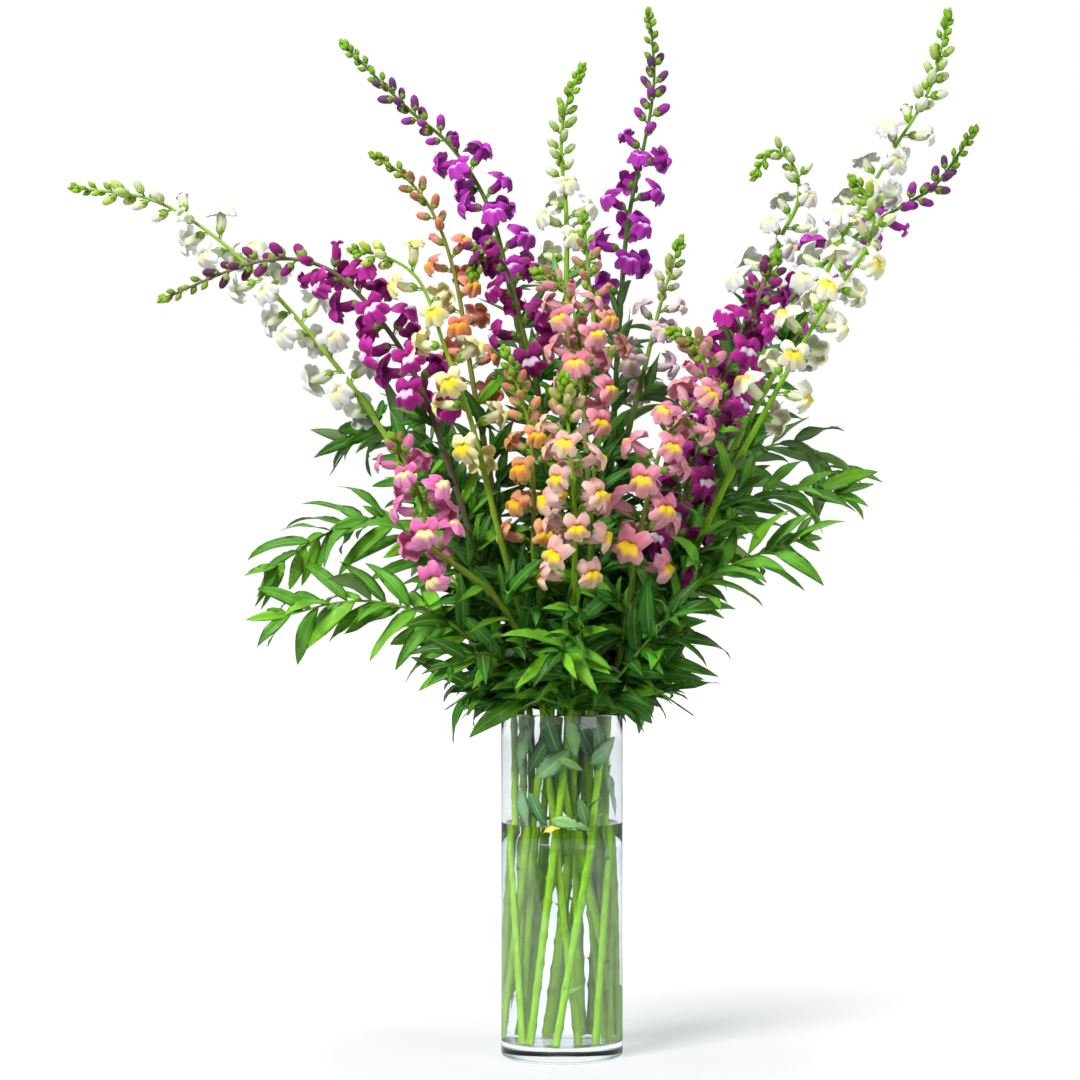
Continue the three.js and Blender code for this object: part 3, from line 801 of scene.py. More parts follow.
stalkHabit = {
    "footDrop": 1.6 * mm, "step": 5 * mm, "sides": 12, "flutes": 0.035,
    "knotSpacing": 26 * mm, "knotLength": 3.2 * mm, "knotSwell": 0.24, "knotShade": 0.18,
    "stubsBelowRim": 10 * mm, "stubShare": 0.75, "longStubShare": 0.12, "longStub": 2.6,
}
spikeHabit = {
    "openCrowding": 0.95, "budCount": 1.35, "budCrowding": 1.45, "tipGap": 3 * mm,
    "youngFrom": 0.86, "colouredBuds": 0.5, "tipBuds": 7,
    "sepal": "7fae3a", "lowBud": "86a83a", "tipBud": "7fae2c",
}


def stalkTone(plant, height):
    # yellow-green in the water, the plant's own colour among the flowers
    own = tone(plant["stalk"])
    share = ease((height - vaseHeight) / 0.22)
    low = mix(mix(footGreen, rimGreen, ease(height / vaseHeight)), own, stalkOwn)
    return mix(low, own, share)


def addStubs(pile, line, s, radius, plant, rng):
    # what is left of a stripped leaf on each side of a knot
    t, front, other = line.axes(s)
    turn = rng.uniform(0, 2 * math.pi)
    for side in (0, math.pi):
        if rng.random() < stalkHabit["stubShare"]:
            out = math.cos(turn + side) * front + math.sin(turn + side) * other
            size = rng.uniform(1.2, 3.8) * mm
            size = size * (stalkHabit["longStub"] if rng.random() < stalkHabit["longStubShare"] else 1)
            root = line.at(s) + out * radius * 0.75
            tip = root + (out * 0.75 + t * 0.7) * size
            shade = stalkTone(plant, root[2]) * rng.uniform(0.75, 1.05)
            radii = [1.0 * mm, 0.75 * mm, 0.3 * mm]
            addRod(pile, [root, mix(root, tip, 0.5), tip], radii, shade, sides=6)


def makeStalk(pile, stem, plant, rng):
    habit = stalkHabit
    line = stem["line"]
    radii = np.array([r[1] for r in stem["rings"]])
    places = np.array([line.nearest(r[0]) for r in stem["rings"]])
    foot = line.at(0) - line.tangent(0) * habit["footDrop"]
    steps = np.arange(0, line.length, habit["step"])
    lengths = np.concatenate([[-habit["footDrop"]], steps, [line.length]])
    points = np.array([foot] + [line.at(s) for s in lengths[1:]])
    thick = np.interp(lengths, places, radii)
    knots = np.arange(rng.uniform(8, 20) * mm, stem["neck"], habit["knotSpacing"])
    knots = knots + np.array([rng.uniform(-6, 6) * mm for _ in knots])
    swell = sum(np.exp(-(((lengths - k) / habit["knotLength"]) ** 2)) for k in knots)
    thick = thick * (1 + habit["knotSwell"] * swell)
    colours = np.array([stalkTone(plant, p[2]) for p in points])
    colours = colours * (1 - habit["knotShade"] * np.clip(swell, 0, 1))[:, None]
    addRod(pile, points, thick, colours, habit["sides"], habit["flutes"])
    for k in knots:
        if line.at(k)[2] < vaseHeight - habit["stubsBelowRim"]:
            addStubs(pile, line, k, float(np.interp(k, places, radii)), plant, rng)


def spikePlaces(stem, plant):
    # lengths along the stem of every floret and bud; they crowd together towards the tip
    neck, tip = stem["neck"], stem["line"].length
    openEnd = neck + (tip - neck) * plant["openShare"]
    share = np.arange(plant["open"]) / plant["open"]
    opened = neck + (openEnd - neck) * share ** spikeHabit["openCrowding"]
    count = round(plant["buds"] * spikeHabit["budCount"])
    left = 1 - np.arange(count) / count
    budded = openEnd + (tip - openEnd - spikeHabit["tipGap"]) * (1 - left ** spikeHabit["budCrowding"])
    return opened, budded


def floretAxes(line, s, turn, rise, sag):
    t, front, other = line.axes(s)
    out = math.cos(turn) * front + math.sin(turn) * other
    forward = unit(out * math.cos(rise) + t * math.sin(rise) + np.array([0, 0, -1.0]) * sag)
    up = unit(t - forward * np.dot(t, forward))
    # a flower on a lying stalk turns its upper lip to the sky
    sky = np.array([0, 0, 1.0])
    skyUp = sky - forward * np.dot(sky, forward)
    lying = 1 - abs(t[2])
    up = unit(up * (1 - 0.75 * lying) + skyUp * 0.75 * lying)
    return out, np.array([forward, np.cross(up, forward), up])


def addBract(pile, root, out, t, lean, size, colour, tint):
    # a small narrow leaf under a floret or a bud; size gives length, width and droop
    length, width, droop = size
    shape = {"length": length, "width": width, "droop": droop, "twist": 0.0, "fold": 0.3, "wave": 0.0}
    addLeaf(pile, root, unit(out + lean * t), unit(t - out * lean), shape, colour, tint, rows=4)


def addFloret(petals, greens, line, s, turn, youth, radius, plant, rng):
    # an open floret with its pedicel, calyx and bract; youth grows from 0 to 1 up the spike
    out, axes = floretAxes(line, s, turn, mix(0.2, 0.55, youth) + rng.uniform(-0.15, 0.15), 0.1)
    t = line.tangent(s)
    reach = mix(6.5, 4.5, youth) * mm
    root = line.at(s) + out * radius * 0.6
    base = root + (out * 0.8 + t * 0.6) * reach
    sepal = mix(tone(plant["stalk"]), tone(spikeHabit["sepal"]), 0.5) * rng.uniform(0.85, 1.1)
    pedicel = [root, mix(root, base, 0.5) + t * 0.4 * mm, base]
    addRod(greens, pedicel, [0.9 * mm, 0.8 * mm, 1.0 * mm], sepal, sides=6)
    addCalyx(greens, base, axes, plant["size"] * 0.9, sepal)
    bract = (rng.uniform(8, 13) * mm, 3.2 * mm, 0.5)
    addBract(greens, root - t * 1.5 * mm, out, t, 0.5, bract, sepal * 0.9, rng.random())
    size = plant["size"] * mix(1.06, 0.84, youth) * rng.uniform(0.92, 1.08)
    young = youth > spikeHabit["youngFrom"]
    shape = rng.choice(youngFlorets if young else openFlorets)
    tilt = rng.uniform(-0.25, 0.25)
    axes = np.array([axes[0], turned(axes[1], axes[0], tilt), turned(axes[2], axes[0], tilt)])
    paint = (0.12 if young else 0.0, rng.random() ** 1.5, rng.uniform(0, 0.35))
    placeShape(petals, shape, base + axes[0] * 0.4 * mm, axes, size, paint)


def addBud(petals, greens, line, s, turn, youth, hasBract, plant, rng):
    # a coloured bud low on the spike, or a green one nearer the tip
    out, axes = floretAxes(line, s, turn, mix(0.6, 1.2, youth), 0.0)
    t = line.tangent(s)
    root = line.at(s) + out * 0.6 * mm
    base = root + (out * 0.8 + t * 0.6) * mix(4.5, 1.2, youth) * mm
    size = plant["size"] * mix(0.8, 0.5, youth) * rng.uniform(0.88, 1.12)
    green = tone(spikeHabit["lowBud"] if youth < 0.5 else spikeHabit["tipBud"])
    sepal = mix(tone(plant["stalk"]), green, 0.75) * rng.uniform(0.85, 1.15)
    thick = 0.8 * mm * size
    addRod(greens, [root, base], [thick + 0.25 * mm, thick + 0.3 * mm], sepal, sides=5)
    if youth < spikeHabit["colouredBuds"]:
        addCalyx(greens, base, axes, size * 1.2, sepal)
        greenness = mix(0.2, 1.0, ease(youth * 2.2))
        placeShape(petals, plumpBud, base, axes, size, (greenness, rng.random(), rng.uniform(0, 0.25)))
    else:
        addGreenBud(greens, base, axes, mix(11.0, 6.5, youth) * mm, sepal)
    if hasBract:
        bract = (mix(9, 5, youth) * mm, mix(2.6, 1.6, youth) * mm, 0.4)
        addBract(greens, root - t * mm, out, t, 0.8, bract, sepal * 0.9, rng.random())


def addTip(greens, line, turn):
    # the last buds sit close round the tip
    t, front, other = line.axes(line.length)
    last = spikeHabit["tipBuds"] - 1
    for k in range(spikeHabit["tipBuds"]):
        turn += goldenAngle
        out = math.cos(turn) * front + math.sin(turn) * other
        heading = unit(t + out * mix(0.5, 0.05, k / last))
        side = unit(np.cross(t, out))
        base = line.at(line.length) + (out * 0.9 + t * (k * 1.3 - 7)) * mm
        axes = np.array([heading, side, np.cross(heading, side)])
        addGreenBud(greens, base, axes, mix(6.5, 4.5, k / last) * mm, tone(spikeHabit["tipBud"]))


def makeSpike(petals, greens, stem, plant, rng):
    line = stem["line"]
    opened, budded = spikePlaces(stem, plant)
    turn = rng.uniform(0, 2 * math.pi)
    for i, s in enumerate(opened):
        turn += goldenAngle + rng.uniform(-0.35, 0.35)
        radius = float(np.interp(s, [stem["neck"], line.length], [2.6, 1.0])) * mm
        addFloret(petals, greens, line, s, turn, i / len(opened), radius, plant, rng)
    for i, s in enumerate(budded):
        turn += goldenAngle + rng.uniform(-0.3, 0.3)
        addBud(petals, greens, line, s, turn, i / len(budded), i % 2 == 0, plant, rng)
    addTip(greens, line, turn)


lowLeaves = {"radius": 58 * mm, "height": 236 * mm, "slope": 1.3, "highest": 318 * mm, "tries": 9}


def hitsGlass(base, direction, upSide, length, droop):
    # whether a drooping blade would cut through the vase's wall near the rim
    u = np.array([0.15, 0.3, 0.45, 0.6, 0.75, 0.9, 1.0])
    drop = droop * u**1.4 * 0.5
    reach = np.outer(np.cos(drop), direction) - np.outer(np.sin(drop), upSide)
    places = base + length * u[:, None] * reach
    far = np.hypot(places[:, 0], places[:, 1])
    low = places[:, 2] < vaseHeight + 3 * mm
    inWall = low & (far > vaseRadius - 9 * mm) & (far < vaseRadius + 4 * mm)
    inside = (far <= vaseRadius) & (places[:, 2] < vaseHeight - 2 * mm)
    return bool((inWall | inside).any())


def leafTone(code, rng):
    base = tone(code)
    light, dark = tone(foliageTones["light"]), tone(foliageTones["dark"])
    pick = rng.random()
    if pick < 0.25:
        base = mix(base, light, rng.uniform(0.3, 0.9))
    elif pick < 0.55:
        base = mix(base, dark, rng.uniform(0.2, 0.75))
    return base * (1.14, 1.45, 0.6)


def facing(direction, base, rng):
    # the upper face of a leaf looks to the light: upwards, and out to the front or the back
    outward = -0.75 if base[1] < 0.06 else 0.5
    sideways = rng.uniform(-0.5, 0.5)
    aim = np.array([sideways, outward + rng.uniform(-0.4, 0.4), 0.65 + rng.uniform(-0.3, 0.3)])
    return unit(aim - direction * np.dot(aim, direction))


def hangsLow(base, direction, upSide, length, droop):
    # true where the tip would hang below the cone that narrows down to the rim
    tip = base + (direction * math.cos(droop * 0.55) - upSide * math.sin(droop * 0.55)) * length
    out = math.hypot(tip[0], tip[1]) - lowLeaves["radius"]
    return tip[2] < min(lowLeaves["height"] + lowLeaves["slope"] * max(out, 0), lowLeaves["highest"])


def tryLeaf(pile, base, draw, code, rng, rows=9):
    # draws a leaf's heading and shape again until it clears the glass
    for _ in range(lowLeaves["tries"]):
        direction, length, droop, widthShare = draw()
        upSide = facing(direction, base, rng)
        if hangsLow(base, direction, upSide, length, droop):
            continue
        if not hitsGlass(base, direction, upSide, length, droop):
            shape = {
                "length": length, "width": length * widthShare, "droop": droop,
                "twist": rng.uniform(-1.0, 1.0), "fold": rng.uniform(0.1, 0.5),
                "wave": rng.uniform(0.05, 0.35), "kick": rng.uniform(-0.6, 0.6),
            }
            addLeaf(pile, base, direction, upSide, shape, leafTone(code, rng), rng.random(), rows=rows)
            return


def makeStemLeaves(pile, stem, plant, rng):
    line = stem["line"]
    start = stem["rim"] + 6 * mm
    turn = rng.uniform(0, 2 * math.pi)
    s = start
    number = 0
    while s < stem["neck"] - 2 * mm:
        share = (s - start) / max(stem["neck"] - start, 1 * mm)
        if rng.random() > plant["bare"] * ease(share * 3):
            turn += goldenAngle + rng.uniform(-0.4, 0.4)
            t, front, other = line.axes(s)

            def draw():
                angle = turn + rng.uniform(-0.5, 0.5)
                out = math.cos(angle) * front + math.sin(angle) * other
                rise = mix(0.35, 0.8, share) + rng.uniform(-0.25, 0.25)
                length = mix(leafHabit["lowLength"], leafHabit["highLength"], share)
                length = length * rng.uniform(0.7, 1.15)
                droop = rng.uniform(0.5, 1.5) * mix(1.3, 0.8, share)
                heading = unit(out * math.cos(rise) + t * math.sin(rise))
                return heading, length, droop, leafHabit["widthShare"] * rng.uniform(0.8, 1.25)

            tryLeaf(pile, line.at(s), draw, plant["leaf"], rng)
            number += 1
            if number % leafHabit["tuftEvery"] == 0:
                out = math.cos(turn) * front + math.sin(turn) * other
                addTuft(pile, line.at(s), unit(out + t * 0.9), plant["leaf"], rng)
        s += leafHabit["spacing"] * mix(0.75, 1.6, share) * rng.uniform(0.8, 1.2)


def makeCollar(pile, stem, plant, rng):
    # leaves close above the rim that arch out and hang over it
    line = stem["line"]
    for k in range(leafHabit["collar"]):
        base = line.at(stem["rim"] + mix(3, 34, k / leafHabit["collar"]) * mm)
        angle = math.atan2(base[1], base[0]) + rng.uniform(-1.1, 1.1)

        def draw():
            turn = angle + rng.uniform(-0.5, 0.5)
            rise = rng.uniform(0.1, 0.75)
            level = math.cos(rise)
            heading = np.array([math.cos(turn) * level, math.sin(turn) * level, math.sin(rise)])
            return heading, rng.uniform(46, 78) * mm, rng.uniform(1.2, 2.8), rng.uniform(0.18, 0.27)

        tryLeaf(pile, base, draw, plant["leaf"], rng)


def addTuft(pile, base, direction, code, rng):
    # a small axillary shoot: a few narrow leaves from one short twig
    side = unit(np.cross(direction, [0.2, 0.3, 1.0]))
    over = np.cross(direction, side)
    twig = rng.uniform(8, 18) * mm
    end = base + direction * twig
    radii = [0.9 * mm, 0.8 * mm, 0.6 * mm]
    addRod(pile, [base, mix(base, end, 0.5), end], radii, tone(code) * 1.5, sides=5, slot=1)
    for k in range(leafHabit["tuftLeaves"]):
        angle = k * goldenAngle + rng.uniform(-0.3, 0.3)

        def draw():
            spread = rng.uniform(0.35, 1.0)
            heading = unit(direction + (math.cos(angle) * side + math.sin(angle) * over) * spread)
            return heading, leafHabit["tuftLength"] * rng.uniform(0.6, 1.2), rng.uniform(0.2, 1.0), 0.24

        tryLeaf(pile, mix(base, end, rng.uniform(0.4, 1.0)), draw, code, rng, rows=6)


def makeSnapdragon(order, name, plant):
    rng = random.Random(100 + order)
    stem = readStem(name)
    greens, petals, leaves = Pile(), Pile(), Pile()
    makeStalk(greens, stem, plant, rng)
    makeSpike(petals, greens, stem, plant, rng)
    makeStemLeaves(leaves, stem, plant, rng)
    makeCollar(leaves, stem, plant, rng)
    stalk = greens.toObject("stalk_" + name, [stalkMaterial])
    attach(stalk, "root")
    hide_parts("stem_" + name)
    spike = petals.toObject("spike_" + name, [petalMaterials[plant["petal"]]])
    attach(spike, "root")
    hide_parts("florets_" + name)
    foliage = leaves.toObject("leaves_" + name, [leafMaterial, stalkMaterial])
    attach(foliage, "root")


for order, (name, traits) in enumerate(snapdragons.items()):
    makeSnapdragon(order, name, dict(zip(plantTraits, traits)))
print("flowering stems made:", len(snapdragons))


# the leafy side shoots

shootHabit = {
    "spacing": 6.5 * mm, "length": 68 * mm, "widthShare": 0.22, "twig": "7fa83a",
    "sideLeaf": "5a9438", "innerLeaf": "34722a", "sideFrom": 0.16,
}


def makeShoot(order, node):
    rng = random.Random(500 + order)
    rings = ringsOf(node, 4.5 * mm, 4)
    nearAxis = min(rings, key=lambda ring: math.hypot(ring[0][0], ring[0][1]))[0]
    line = Line(np.array([r[0] for r in chained(rings, nearAxis)]))
    farOut = math.hypot(*line.points[-1][:2]) > shootHabit["sideFrom"]
    code = shootHabit["sideLeaf"] if farOut else shootHabit["innerLeaf"]
    pile = Pile()
    lengths = np.append(np.arange(0, line.length, 6 * mm), line.length)
    points = np.array([line.at(s) for s in lengths])
    radii = np.interp(lengths, [0, line.length], [1.9, 0.8]) * mm
    addRod(pile, points, radii, tone(shootHabit["twig"]), sides=8, slot=1)
    turn = rng.uniform(0, 2 * math.pi)
    s = 10 * mm
    while s < line.length:
        share = s / line.length
        turn += goldenAngle + rng.uniform(-0.4, 0.4)
        t, front, other = line.axes(s)

        def draw():
            angle = turn + rng.uniform(-0.4, 0.4)
            out = math.cos(angle) * front + math.sin(angle) * other
            rise = mix(0.5, 0.9, share) + rng.uniform(-0.2, 0.2)
            heading = unit(out * math.cos(rise) + t * math.sin(rise))
            length = shootHabit["length"] * mix(1.1, 0.8, share) * rng.uniform(0.8, 1.15)
            return heading, length, rng.uniform(0.4, 1.3), shootHabit["widthShare"] * rng.uniform(0.85, 1.2)

        tryLeaf(pile, line.at(s), draw, code, rng)
        s += shootHabit["spacing"] * rng.uniform(0.8, 1.2)
    addTuft(pile, line.at(line.length), line.tangent(line.length), code, rng)
    made = pile.toObject("sprig_" + node.removeprefix("shoot_"), [leafMaterial, stalkMaterial])
    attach(made, "root")
    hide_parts(node)


shootNodes = sorted(node for node in cadNodes if node.startswith("shoot_"))
for order, node in enumerate(shootNodes):
    makeShoot(order, node)
print("side shoots made:", len(shootNodes))


# loose bits in the vase: stripped leaves above the water, remnants in it, and a fallen petal

# foot, heading, length and width in mm, droop and tone of each
strippedLeaves = [
    ((-30, -36, 296), (-0.2, 0.1, -1), (44, 15), 0.2, "5f8a58"),
    ((-22, -42, 250), (0.75, 0.05, 0.65), (42, 18), 0.3, "5b8552"),
    ((6, -44, 300), (0.2, 0, -1), (34, 13), 0.4, "6f9c58"),
    ((24, -38, 262), (0.55, 0.1, 0.4), (38, 17), 1.0, "5c8a55"),
    ((40, -22, 252), (0.1, 0.1, -1), (40, 14), -0.5, "6a9a74"),
    ((14, -40, 232), (0.3, 0, -0.9), (34, 11), 0.8, "4c7a3c"),
    ((-36, -26, 240), (0.1, 0, -1), (38, 13), 0.3, "6d9a6c"),
    ((-8, -30, 290), (-0.5, 0, -0.8), (46, 13), 0.5, "46743a"),
    ((30, -30, 300), (0.1, -0.1, -1), (46, 15), 0.3, "4f7d4a"),
    ((-40, 5, 285), (0, 0.3, -1), (48, 15), 0.3, "4f7d4a"),
    ((40, 10, 290), (-0.1, 0.2, -1), (44, 14), 0.3, "55834c"),
    ((-20, 34, 280), (0.4, 0, -1), (44, 15), 0.2, "4a7844"),
    ((22, 32, 262), (-0.5, 0.1, -0.7), (46, 16), 0.4, "4a7844"),
    ((-14, -38, 302), (0.3, 0.1, -1), (44, 16), 0.4, "3f6e3a"),
    ((14, -30, 296), (0.5, 0.1, -1), (46, 17), 0.3, "456f42"),
    ((2, -20, 262), (-0.2, 0.1, -1), (42, 15), 0.4, "35602e"),
    ((-32, -20, 304), (0.15, -0.1, -1), (48, 15), 0.3, "5d8a5c"),
    ((34, -26, 232), (-0.5, 0.1, -0.6), (34, 11), -0.6, "3f6b30"),
    ((-28, -30, 236), (0.35, 0, -0.9), (34, 14), 0.4, "4d7c48"),
    ((-4, -44, 268), (0.9, 0.1, -0.5), (28, 8), 0.9, "7da650"),
    ((8, 20, 290), (0.1, 0.1, -1), (52, 17), 0.2, "3c6a36"),
    ((-6, 26, 250), (0.3, 0, -1), (44, 16), 0.2, "3c6a36"),
    ((30, 20, 246), (-0.3, 0, -1), (40, 15), 0.2, "44713e"),
    ((-9, -45, 214), (1, 0.1, -0.3), (38, 13), -0.2, "9cc878"),
    ((32, -24, 84), (0.6, -0.2, 0.6), (30, 5), -3.4, "4f8a2c"),
    ((30, -28, 62), (0.9, -0.1, 0.25), (20, 3), 0.4, "6aa42c"),
    ((-33, -30, 168), (-0.5, -0.2, 0.9), (16, 4), 0.6, "7cb040"),
    ((-38, -20, 58), (-0.4, -0.3, -0.7), (14, 3), 0.6, "7a7a34"),
    ((33, -25, 176), (0.6, -0.1, 0.5), (13, 3.5), -1.6, "5c8a34"),
    ((-2, -42, 60), (0.9, 0, 0.4), (24, 3.5), -0.6, "86bc34"),
]
fallenPetal = {
    "foot": (-1, -44, 205), "heading": (-1.0, 0, -0.12), "upSide": (0, -0.6, 0.8),
    "length": 17 * mm, "width": 9 * mm, "droop": 0.9, "twist": 0.5, "fold": 0.5, "wave": 0.4,
}
insideGlass = vaseRadius - 4.6 * mm


def pressed(pile):
    # keeps everything in a pile inside the glass, flat against it where it would go through
    for verts in pile.verts:
        far = np.hypot(verts[:, 0], verts[:, 1])
        verts[:, :2] *= np.minimum(1, insideGlass / np.maximum(far, 1e-6))[:, None]


def makeLooseBits():
    rng = random.Random(77)
    leaves = Pile()
    for foot, heading, (length, width), droop, code in strippedLeaves:
        foot = np.array(foot) * mm
        heading = unit(heading)
        outward = unit(np.array([foot[0], foot[1], 0.0]))
        outward = unit(outward - heading * np.dot(outward, heading))
        shape = {
            "length": length * mm, "width": width * mm, "droop": droop,
            "twist": rng.uniform(-0.4, 0.4), "fold": 0.15, "wave": 0.15,
        }
        addLeaf(leaves, foot, heading, outward, shape, tone(code), rng.random())
    pressed(leaves)
    made = leaves.toObject("stripped_leaves", [leafMaterial])
    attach(made, "root")
    petal = Pile()
    foot = np.array(fallenPetal["foot"]) * mm
    heading, upSide = unit(fallenPetal["heading"]), unit(fallenPetal["upSide"])
    addLeaf(petal, foot, heading, upSide, fallenPetal, (0, 0.6, 0.1), 0.3)
    petal.marks = [np.full_like(marks, 1.0) * (1.0, 0.6, 0.75, 1.0) for marks in petal.marks]
    petal.paint = [np.full_like(paint, 1.0) * (0.0, 0.6, 0.1, 0.4) for paint in petal.paint]
    pressed(petal)
    fallen = petal.toObject("fallen_petal", [petalMaterials["petalsYellow"]])
    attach(fallen, "root")


makeLooseBits()
print("loose bits made")


# the glass vase and the water

vaseShape = {
    "wall": 3.5 * mm, "heel": 4 * mm, "cove": 4 * mm, "lip": 1.7 * mm, "floorRise": 1.2 * mm, "sides": 96,
    "ior": 1.46, "tint": "f6f9fb",
}
waterShape = {
    "overlap": 0.15 * mm, "meniscus": 1.6 * mm, "fall": (0.3, 0.8, 1.6, 2.8, 4.5, 7), "sides": 96,
    "ior": 1.333, "tint": "f5f9fd",
}


def arc(centreRadius, centreZ, radius, start, end, steps):
    angles = np.radians(np.linspace(start, end, steps + 1))
    return [(centreRadius + math.cos(a) * radius, centreZ + math.sin(a) * radius) for a in angles]


def latheObject(name, profile, sides, material):
    # profile runs from the axis, round the outside and back to the axis
    profile = [p for i, p in enumerate(profile) if i == 0 or math.dist(p, profile[i - 1]) > 1e-6]
    angles = np.arange(sides) / sides * 2 * math.pi
    across, along = np.cos(angles), np.sin(angles)
    rings = [np.stack([across * r, along * r, np.full(sides, z)], -1) for r, z in profile[1:-1]]
    verts = np.concatenate([np.concatenate(rings), [[0, 0, profile[0][1]], [0, 0, profile[-1][1]]]])
    low, high = len(verts) - 2, len(verts) - 1
    j = np.arange(sides)
    k = (j + 1) % sides
    top = (len(rings) - 1) * sides
    lowFan = np.stack([k, j, np.full(sides, low)], -1)
    highFan = np.stack([j + top, k + top, np.full(sides, high)], -1)
    pile = Pile()
    pile.add(verts, [gridFaces(len(rings), sides), lowFan, highFan], (0, 0, 0, 0), (1, 1, 1, 1))
    return pile.toObject(name, [material])


def makeClearMaterial(name, tint, ior, waviness):
    # clear to light from the lamps, so that it throws only a faint shadow
    principled = {"Base Color": withAlpha(tone(tint)), "Roughness": 0.0, "IOR": ior}
    principled["Transmission Weight"] = 1.0
    material, tree, shader, output = newMaterial(name, principled)
    ripple = placeGroup(tree, grainGroup, {"Scale": 22.0, "Depth": 1.0})
    tree.links.new(bumpFrom(tree, ripple.outputs["Height"], waviness, 0.002), shader.inputs["Normal"])
    clear = addNode(tree, "ShaderNodeBsdfTransparent", {}, {"Color": (0.93, 0.96, 0.96, 1.0)})
    path = addNode(tree, "ShaderNodeLightPath")
    parts = {0: path.outputs["Is Shadow Ray"], 1: shader.outputs[0], 2: clear.outputs[0]}
    blend = addNode(tree, "ShaderNodeMixShader", {}, parts)
    tree.links.new(blend.outputs[0], output.inputs["Surface"])
    return material


def makeVase():
    s = vaseShape
    inner = vaseRadius - s["wall"]
    floorTop = vaseFloor - 0.5 * mm
    lip = s["lip"]
    profile = [
        (0, 1.0 * mm),
        (vaseRadius - s["heel"] - 6 * mm, 1.0 * mm),
        (vaseRadius - s["heel"] - 3 * mm, 0.2 * mm),
        *arc(vaseRadius - s["heel"], s["heel"], s["heel"], -90, 0, 6),
        *[(vaseRadius, z) for z in np.linspace(s["heel"], vaseHeight - lip, 14)[1:-1]],
        *arc(vaseRadius - lip, vaseHeight - lip, lip, 0, 90, 4),
        *arc(inner + lip, vaseHeight - lip, lip, 90, 180, 4),
        *[(inner, z) for z in np.linspace(vaseHeight - lip, floorTop + s["cove"], 14)[1:-1]],
        *arc(inner - s["cove"], floorTop + s["cove"], s["cove"], 0, -90, 5),
        (inner * 0.5, floorTop + s["floorRise"] * 0.7),
        (0, floorTop + s["floorRise"]),
    ]
    material = makeClearMaterial("vaseGlass", s["tint"], s["ior"], 0.12)
    vase = latheObject("glass_cylinder", profile, s["sides"], material)
    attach(vase, "root")
    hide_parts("vase")


def makeWater():
    s = waterShape
    radius = vaseRadius - vaseShape["wall"] + s["overlap"]
    floorTop = vaseFloor - 0.5 * mm - s["overlap"]
    cove = vaseShape["cove"]
    profile = [
        (0, floorTop + vaseShape["floorRise"]),
        (radius * 0.5, floorTop + vaseShape["floorRise"] * 0.7),
        *arc(radius - cove, floorTop + cove, cove, -90, 0, 5),
        *[(radius, z) for z in np.linspace(floorTop + cove, waterTop + s["meniscus"], 10)[1:]],
        *[(radius - x * mm, waterTop + s["meniscus"] * math.exp(-x / 1.5)) for x in s["fall"]],
        (0, waterTop),
    ]
    material = makeClearMaterial("clearWater", s["tint"], s["ior"], 0.05)
    water = latheObject("water_body", profile, s["sides"], material)
    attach(water, "root")
    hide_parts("water")


makeVase()
makeWater()
print("vase and water made")


# the floor, the light and the world

# the floor's glows are painted light: nearGlow and farGlow for the camera, glassGlow seen through the
# glass, paintedBounce for all other rays
studio = {
    "floorSize": 12.0, "floorFront": -0.9, "floorTone": 0.55,
    "nearGlow": 0.3, "farGlow": 1.0, "glassGlow": 0.7, "paintedBounce": 0.06,
    "front": "3f454b", "side": "747c84", "through": "a9b1b9",
}


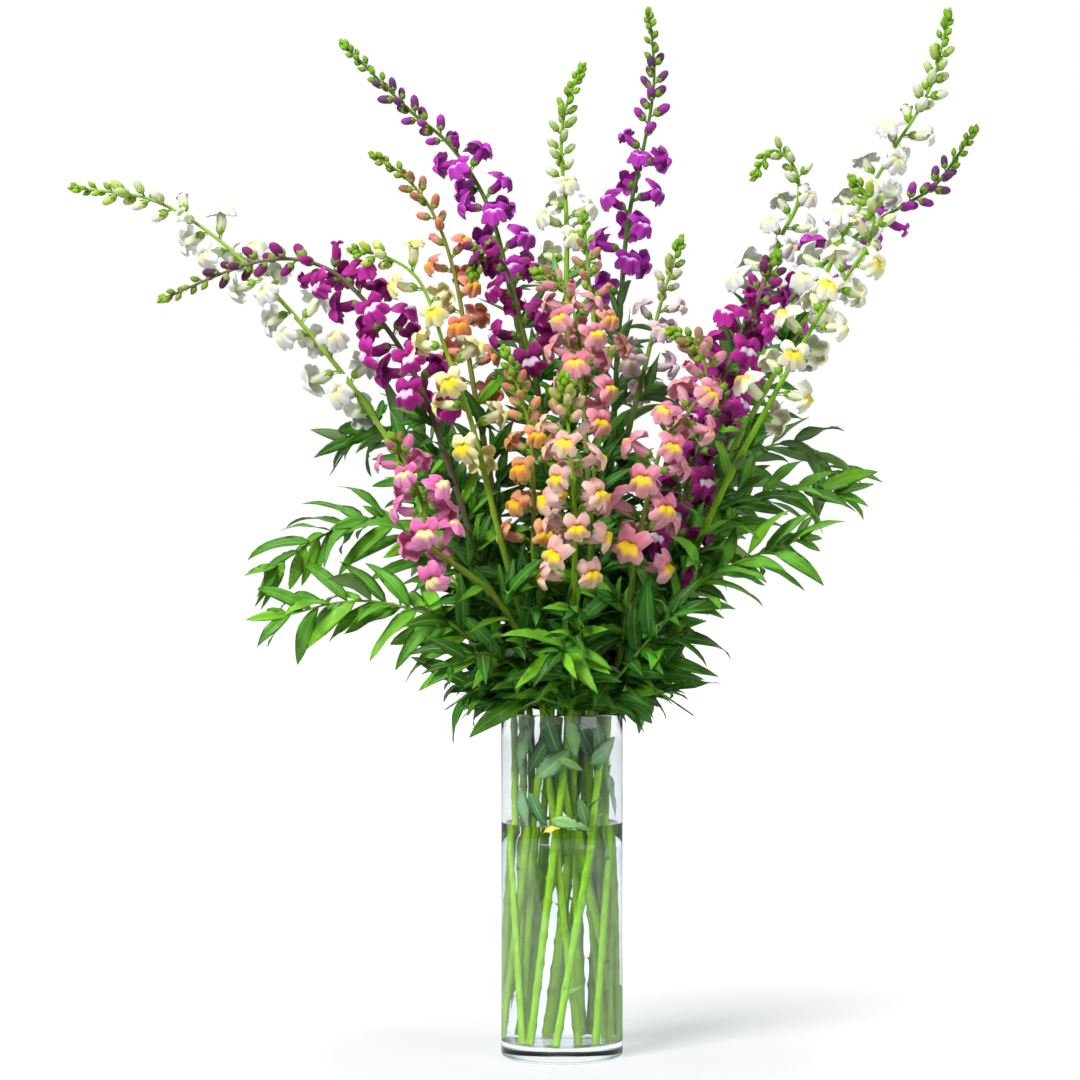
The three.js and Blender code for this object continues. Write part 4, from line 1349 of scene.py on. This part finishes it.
def makeFloor():
    half, front = studio["floorSize"], studio["floorFront"]
    mesh = bpy.data.meshes.new("floor")
    corners = [(-half, front, 0), (half, front, 0), (half, half, 0), (-half, half, 0)]
    mesh.from_pydata(corners, [], [(0, 1, 2, 3)])
    plain = (studio["floorTone"],) * 3 + (1.0,)
    principled = {"Base Color": plain, "Roughness": 0.9, "Specular IOR Level": 0.0}
    principled["Emission Color"] = (1, 1, 1, 1)
    material, tree, shader, _ = newMaterial("floorWhite", principled)
    # painted light: the floor glows, dimly near the vase and up to white farther out for the camera, so it
    # turns white away from the vase; it glows more where it is seen through the glass, and faintly for all
    # other rays as painted bounce light
    place = addNode(tree, "ShaderNodeTexCoord").outputs["Object"]
    far = addNode(tree, "ShaderNodeVectorMath", {"operation": "LENGTH"}, {0: place}).outputs[1]
    fade = {0: far, 1: 0.2, 2: 0.9, 3: studio["nearGlow"], 4: studio["farGlow"]}
    glow = addNode(tree, "ShaderNodeMapRange", {}, fade)
    path = addNode(tree, "ShaderNodeLightPath")
    seen = addMath(tree, "MULTIPLY", glow.outputs[0], path.outputs["Is Camera Ray"])
    through = addMath(tree, "MULTIPLY", path.outputs["Is Transmission Ray"], studio["glassGlow"])
    strength = addMath(tree, "ADD", addMath(tree, "MAXIMUM", seen, through), studio["paintedBounce"])
    tree.links.new(strength, shader.inputs["Emission Strength"])
    mesh.materials.append(material)
    floor = bpy.data.objects.new("floor", mesh)
    bpy.context.scene.collection.objects.link(floor)


def addLamp(name, place, aim, size, power):
    data = bpy.data.lights.new(name, "AREA")
    data.size = size
    data.energy = power
    lamp = bpy.data.objects.new(name, data)
    lamp.location = place
    lamp.rotation_euler = (Vector(aim) - Vector(place)).to_track_quat("-Z", "Y").to_euler()
    bpy.context.scene.collection.objects.link(lamp)


# where each lamp stands, what it looks at, its size and its power
lamps = {
    "keyLamp": ((-1.5, -1.9, 2.3), (0, 0, 0.45), 1.1, 112.0),
    "fillLamp": ((1.9, -1.5, 1.1), (0, 0, 0.45), 1.5, 27.0),
    "topLamp": ((0.2, 0.3, 2.8), (0, 0, 0.4), 1.4, 26.0),
}


def makeWorld():
    # white behind the bouquet, grey at the sides and in front, so that the glass has drawn edges
    world = bpy.data.worlds.new("studio")
    world.use_nodes = True
    tree = world.node_tree
    tree.nodes.clear()
    heading = addNode(tree, "ShaderNodeTexCoord").outputs["Generated"]
    parts = addNode(tree, "ShaderNodeSeparateXYZ", {}, {0: heading})
    sideways = addSpread(tree, parts.outputs[1], -0.45, 0.15)
    behind = addSpread(tree, parts.outputs[1], 0.72, 0.9)
    near = addMix(tree, sideways, withAlpha(tone(studio["front"])), withAlpha(tone(studio["side"])))
    path = addNode(tree, "ShaderNodeLightPath")
    near = addMix(tree, path.outputs["Is Transmission Ray"], near, withAlpha(tone(studio["through"])))
    white = addMath(tree, "MAXIMUM", behind, path.outputs["Is Camera Ray"])
    sky = addMix(tree, white, near, (1, 1, 1, 1))
    background = addNode(tree, "ShaderNodeBackground", {}, {"Color": sky, "Strength": 1.0})
    addNode(tree, "ShaderNodeOutputWorld", {}, {"Surface": background.outputs[0]})
    bpy.context.scene.world = world


makeFloor()
makeWorld()
for name, (place, aim, size, power) in lamps.items():
    addLamp(name, place, aim, size, power)
bpy.context.scene.view_settings.view_transform = "Standard"
print("stage made")
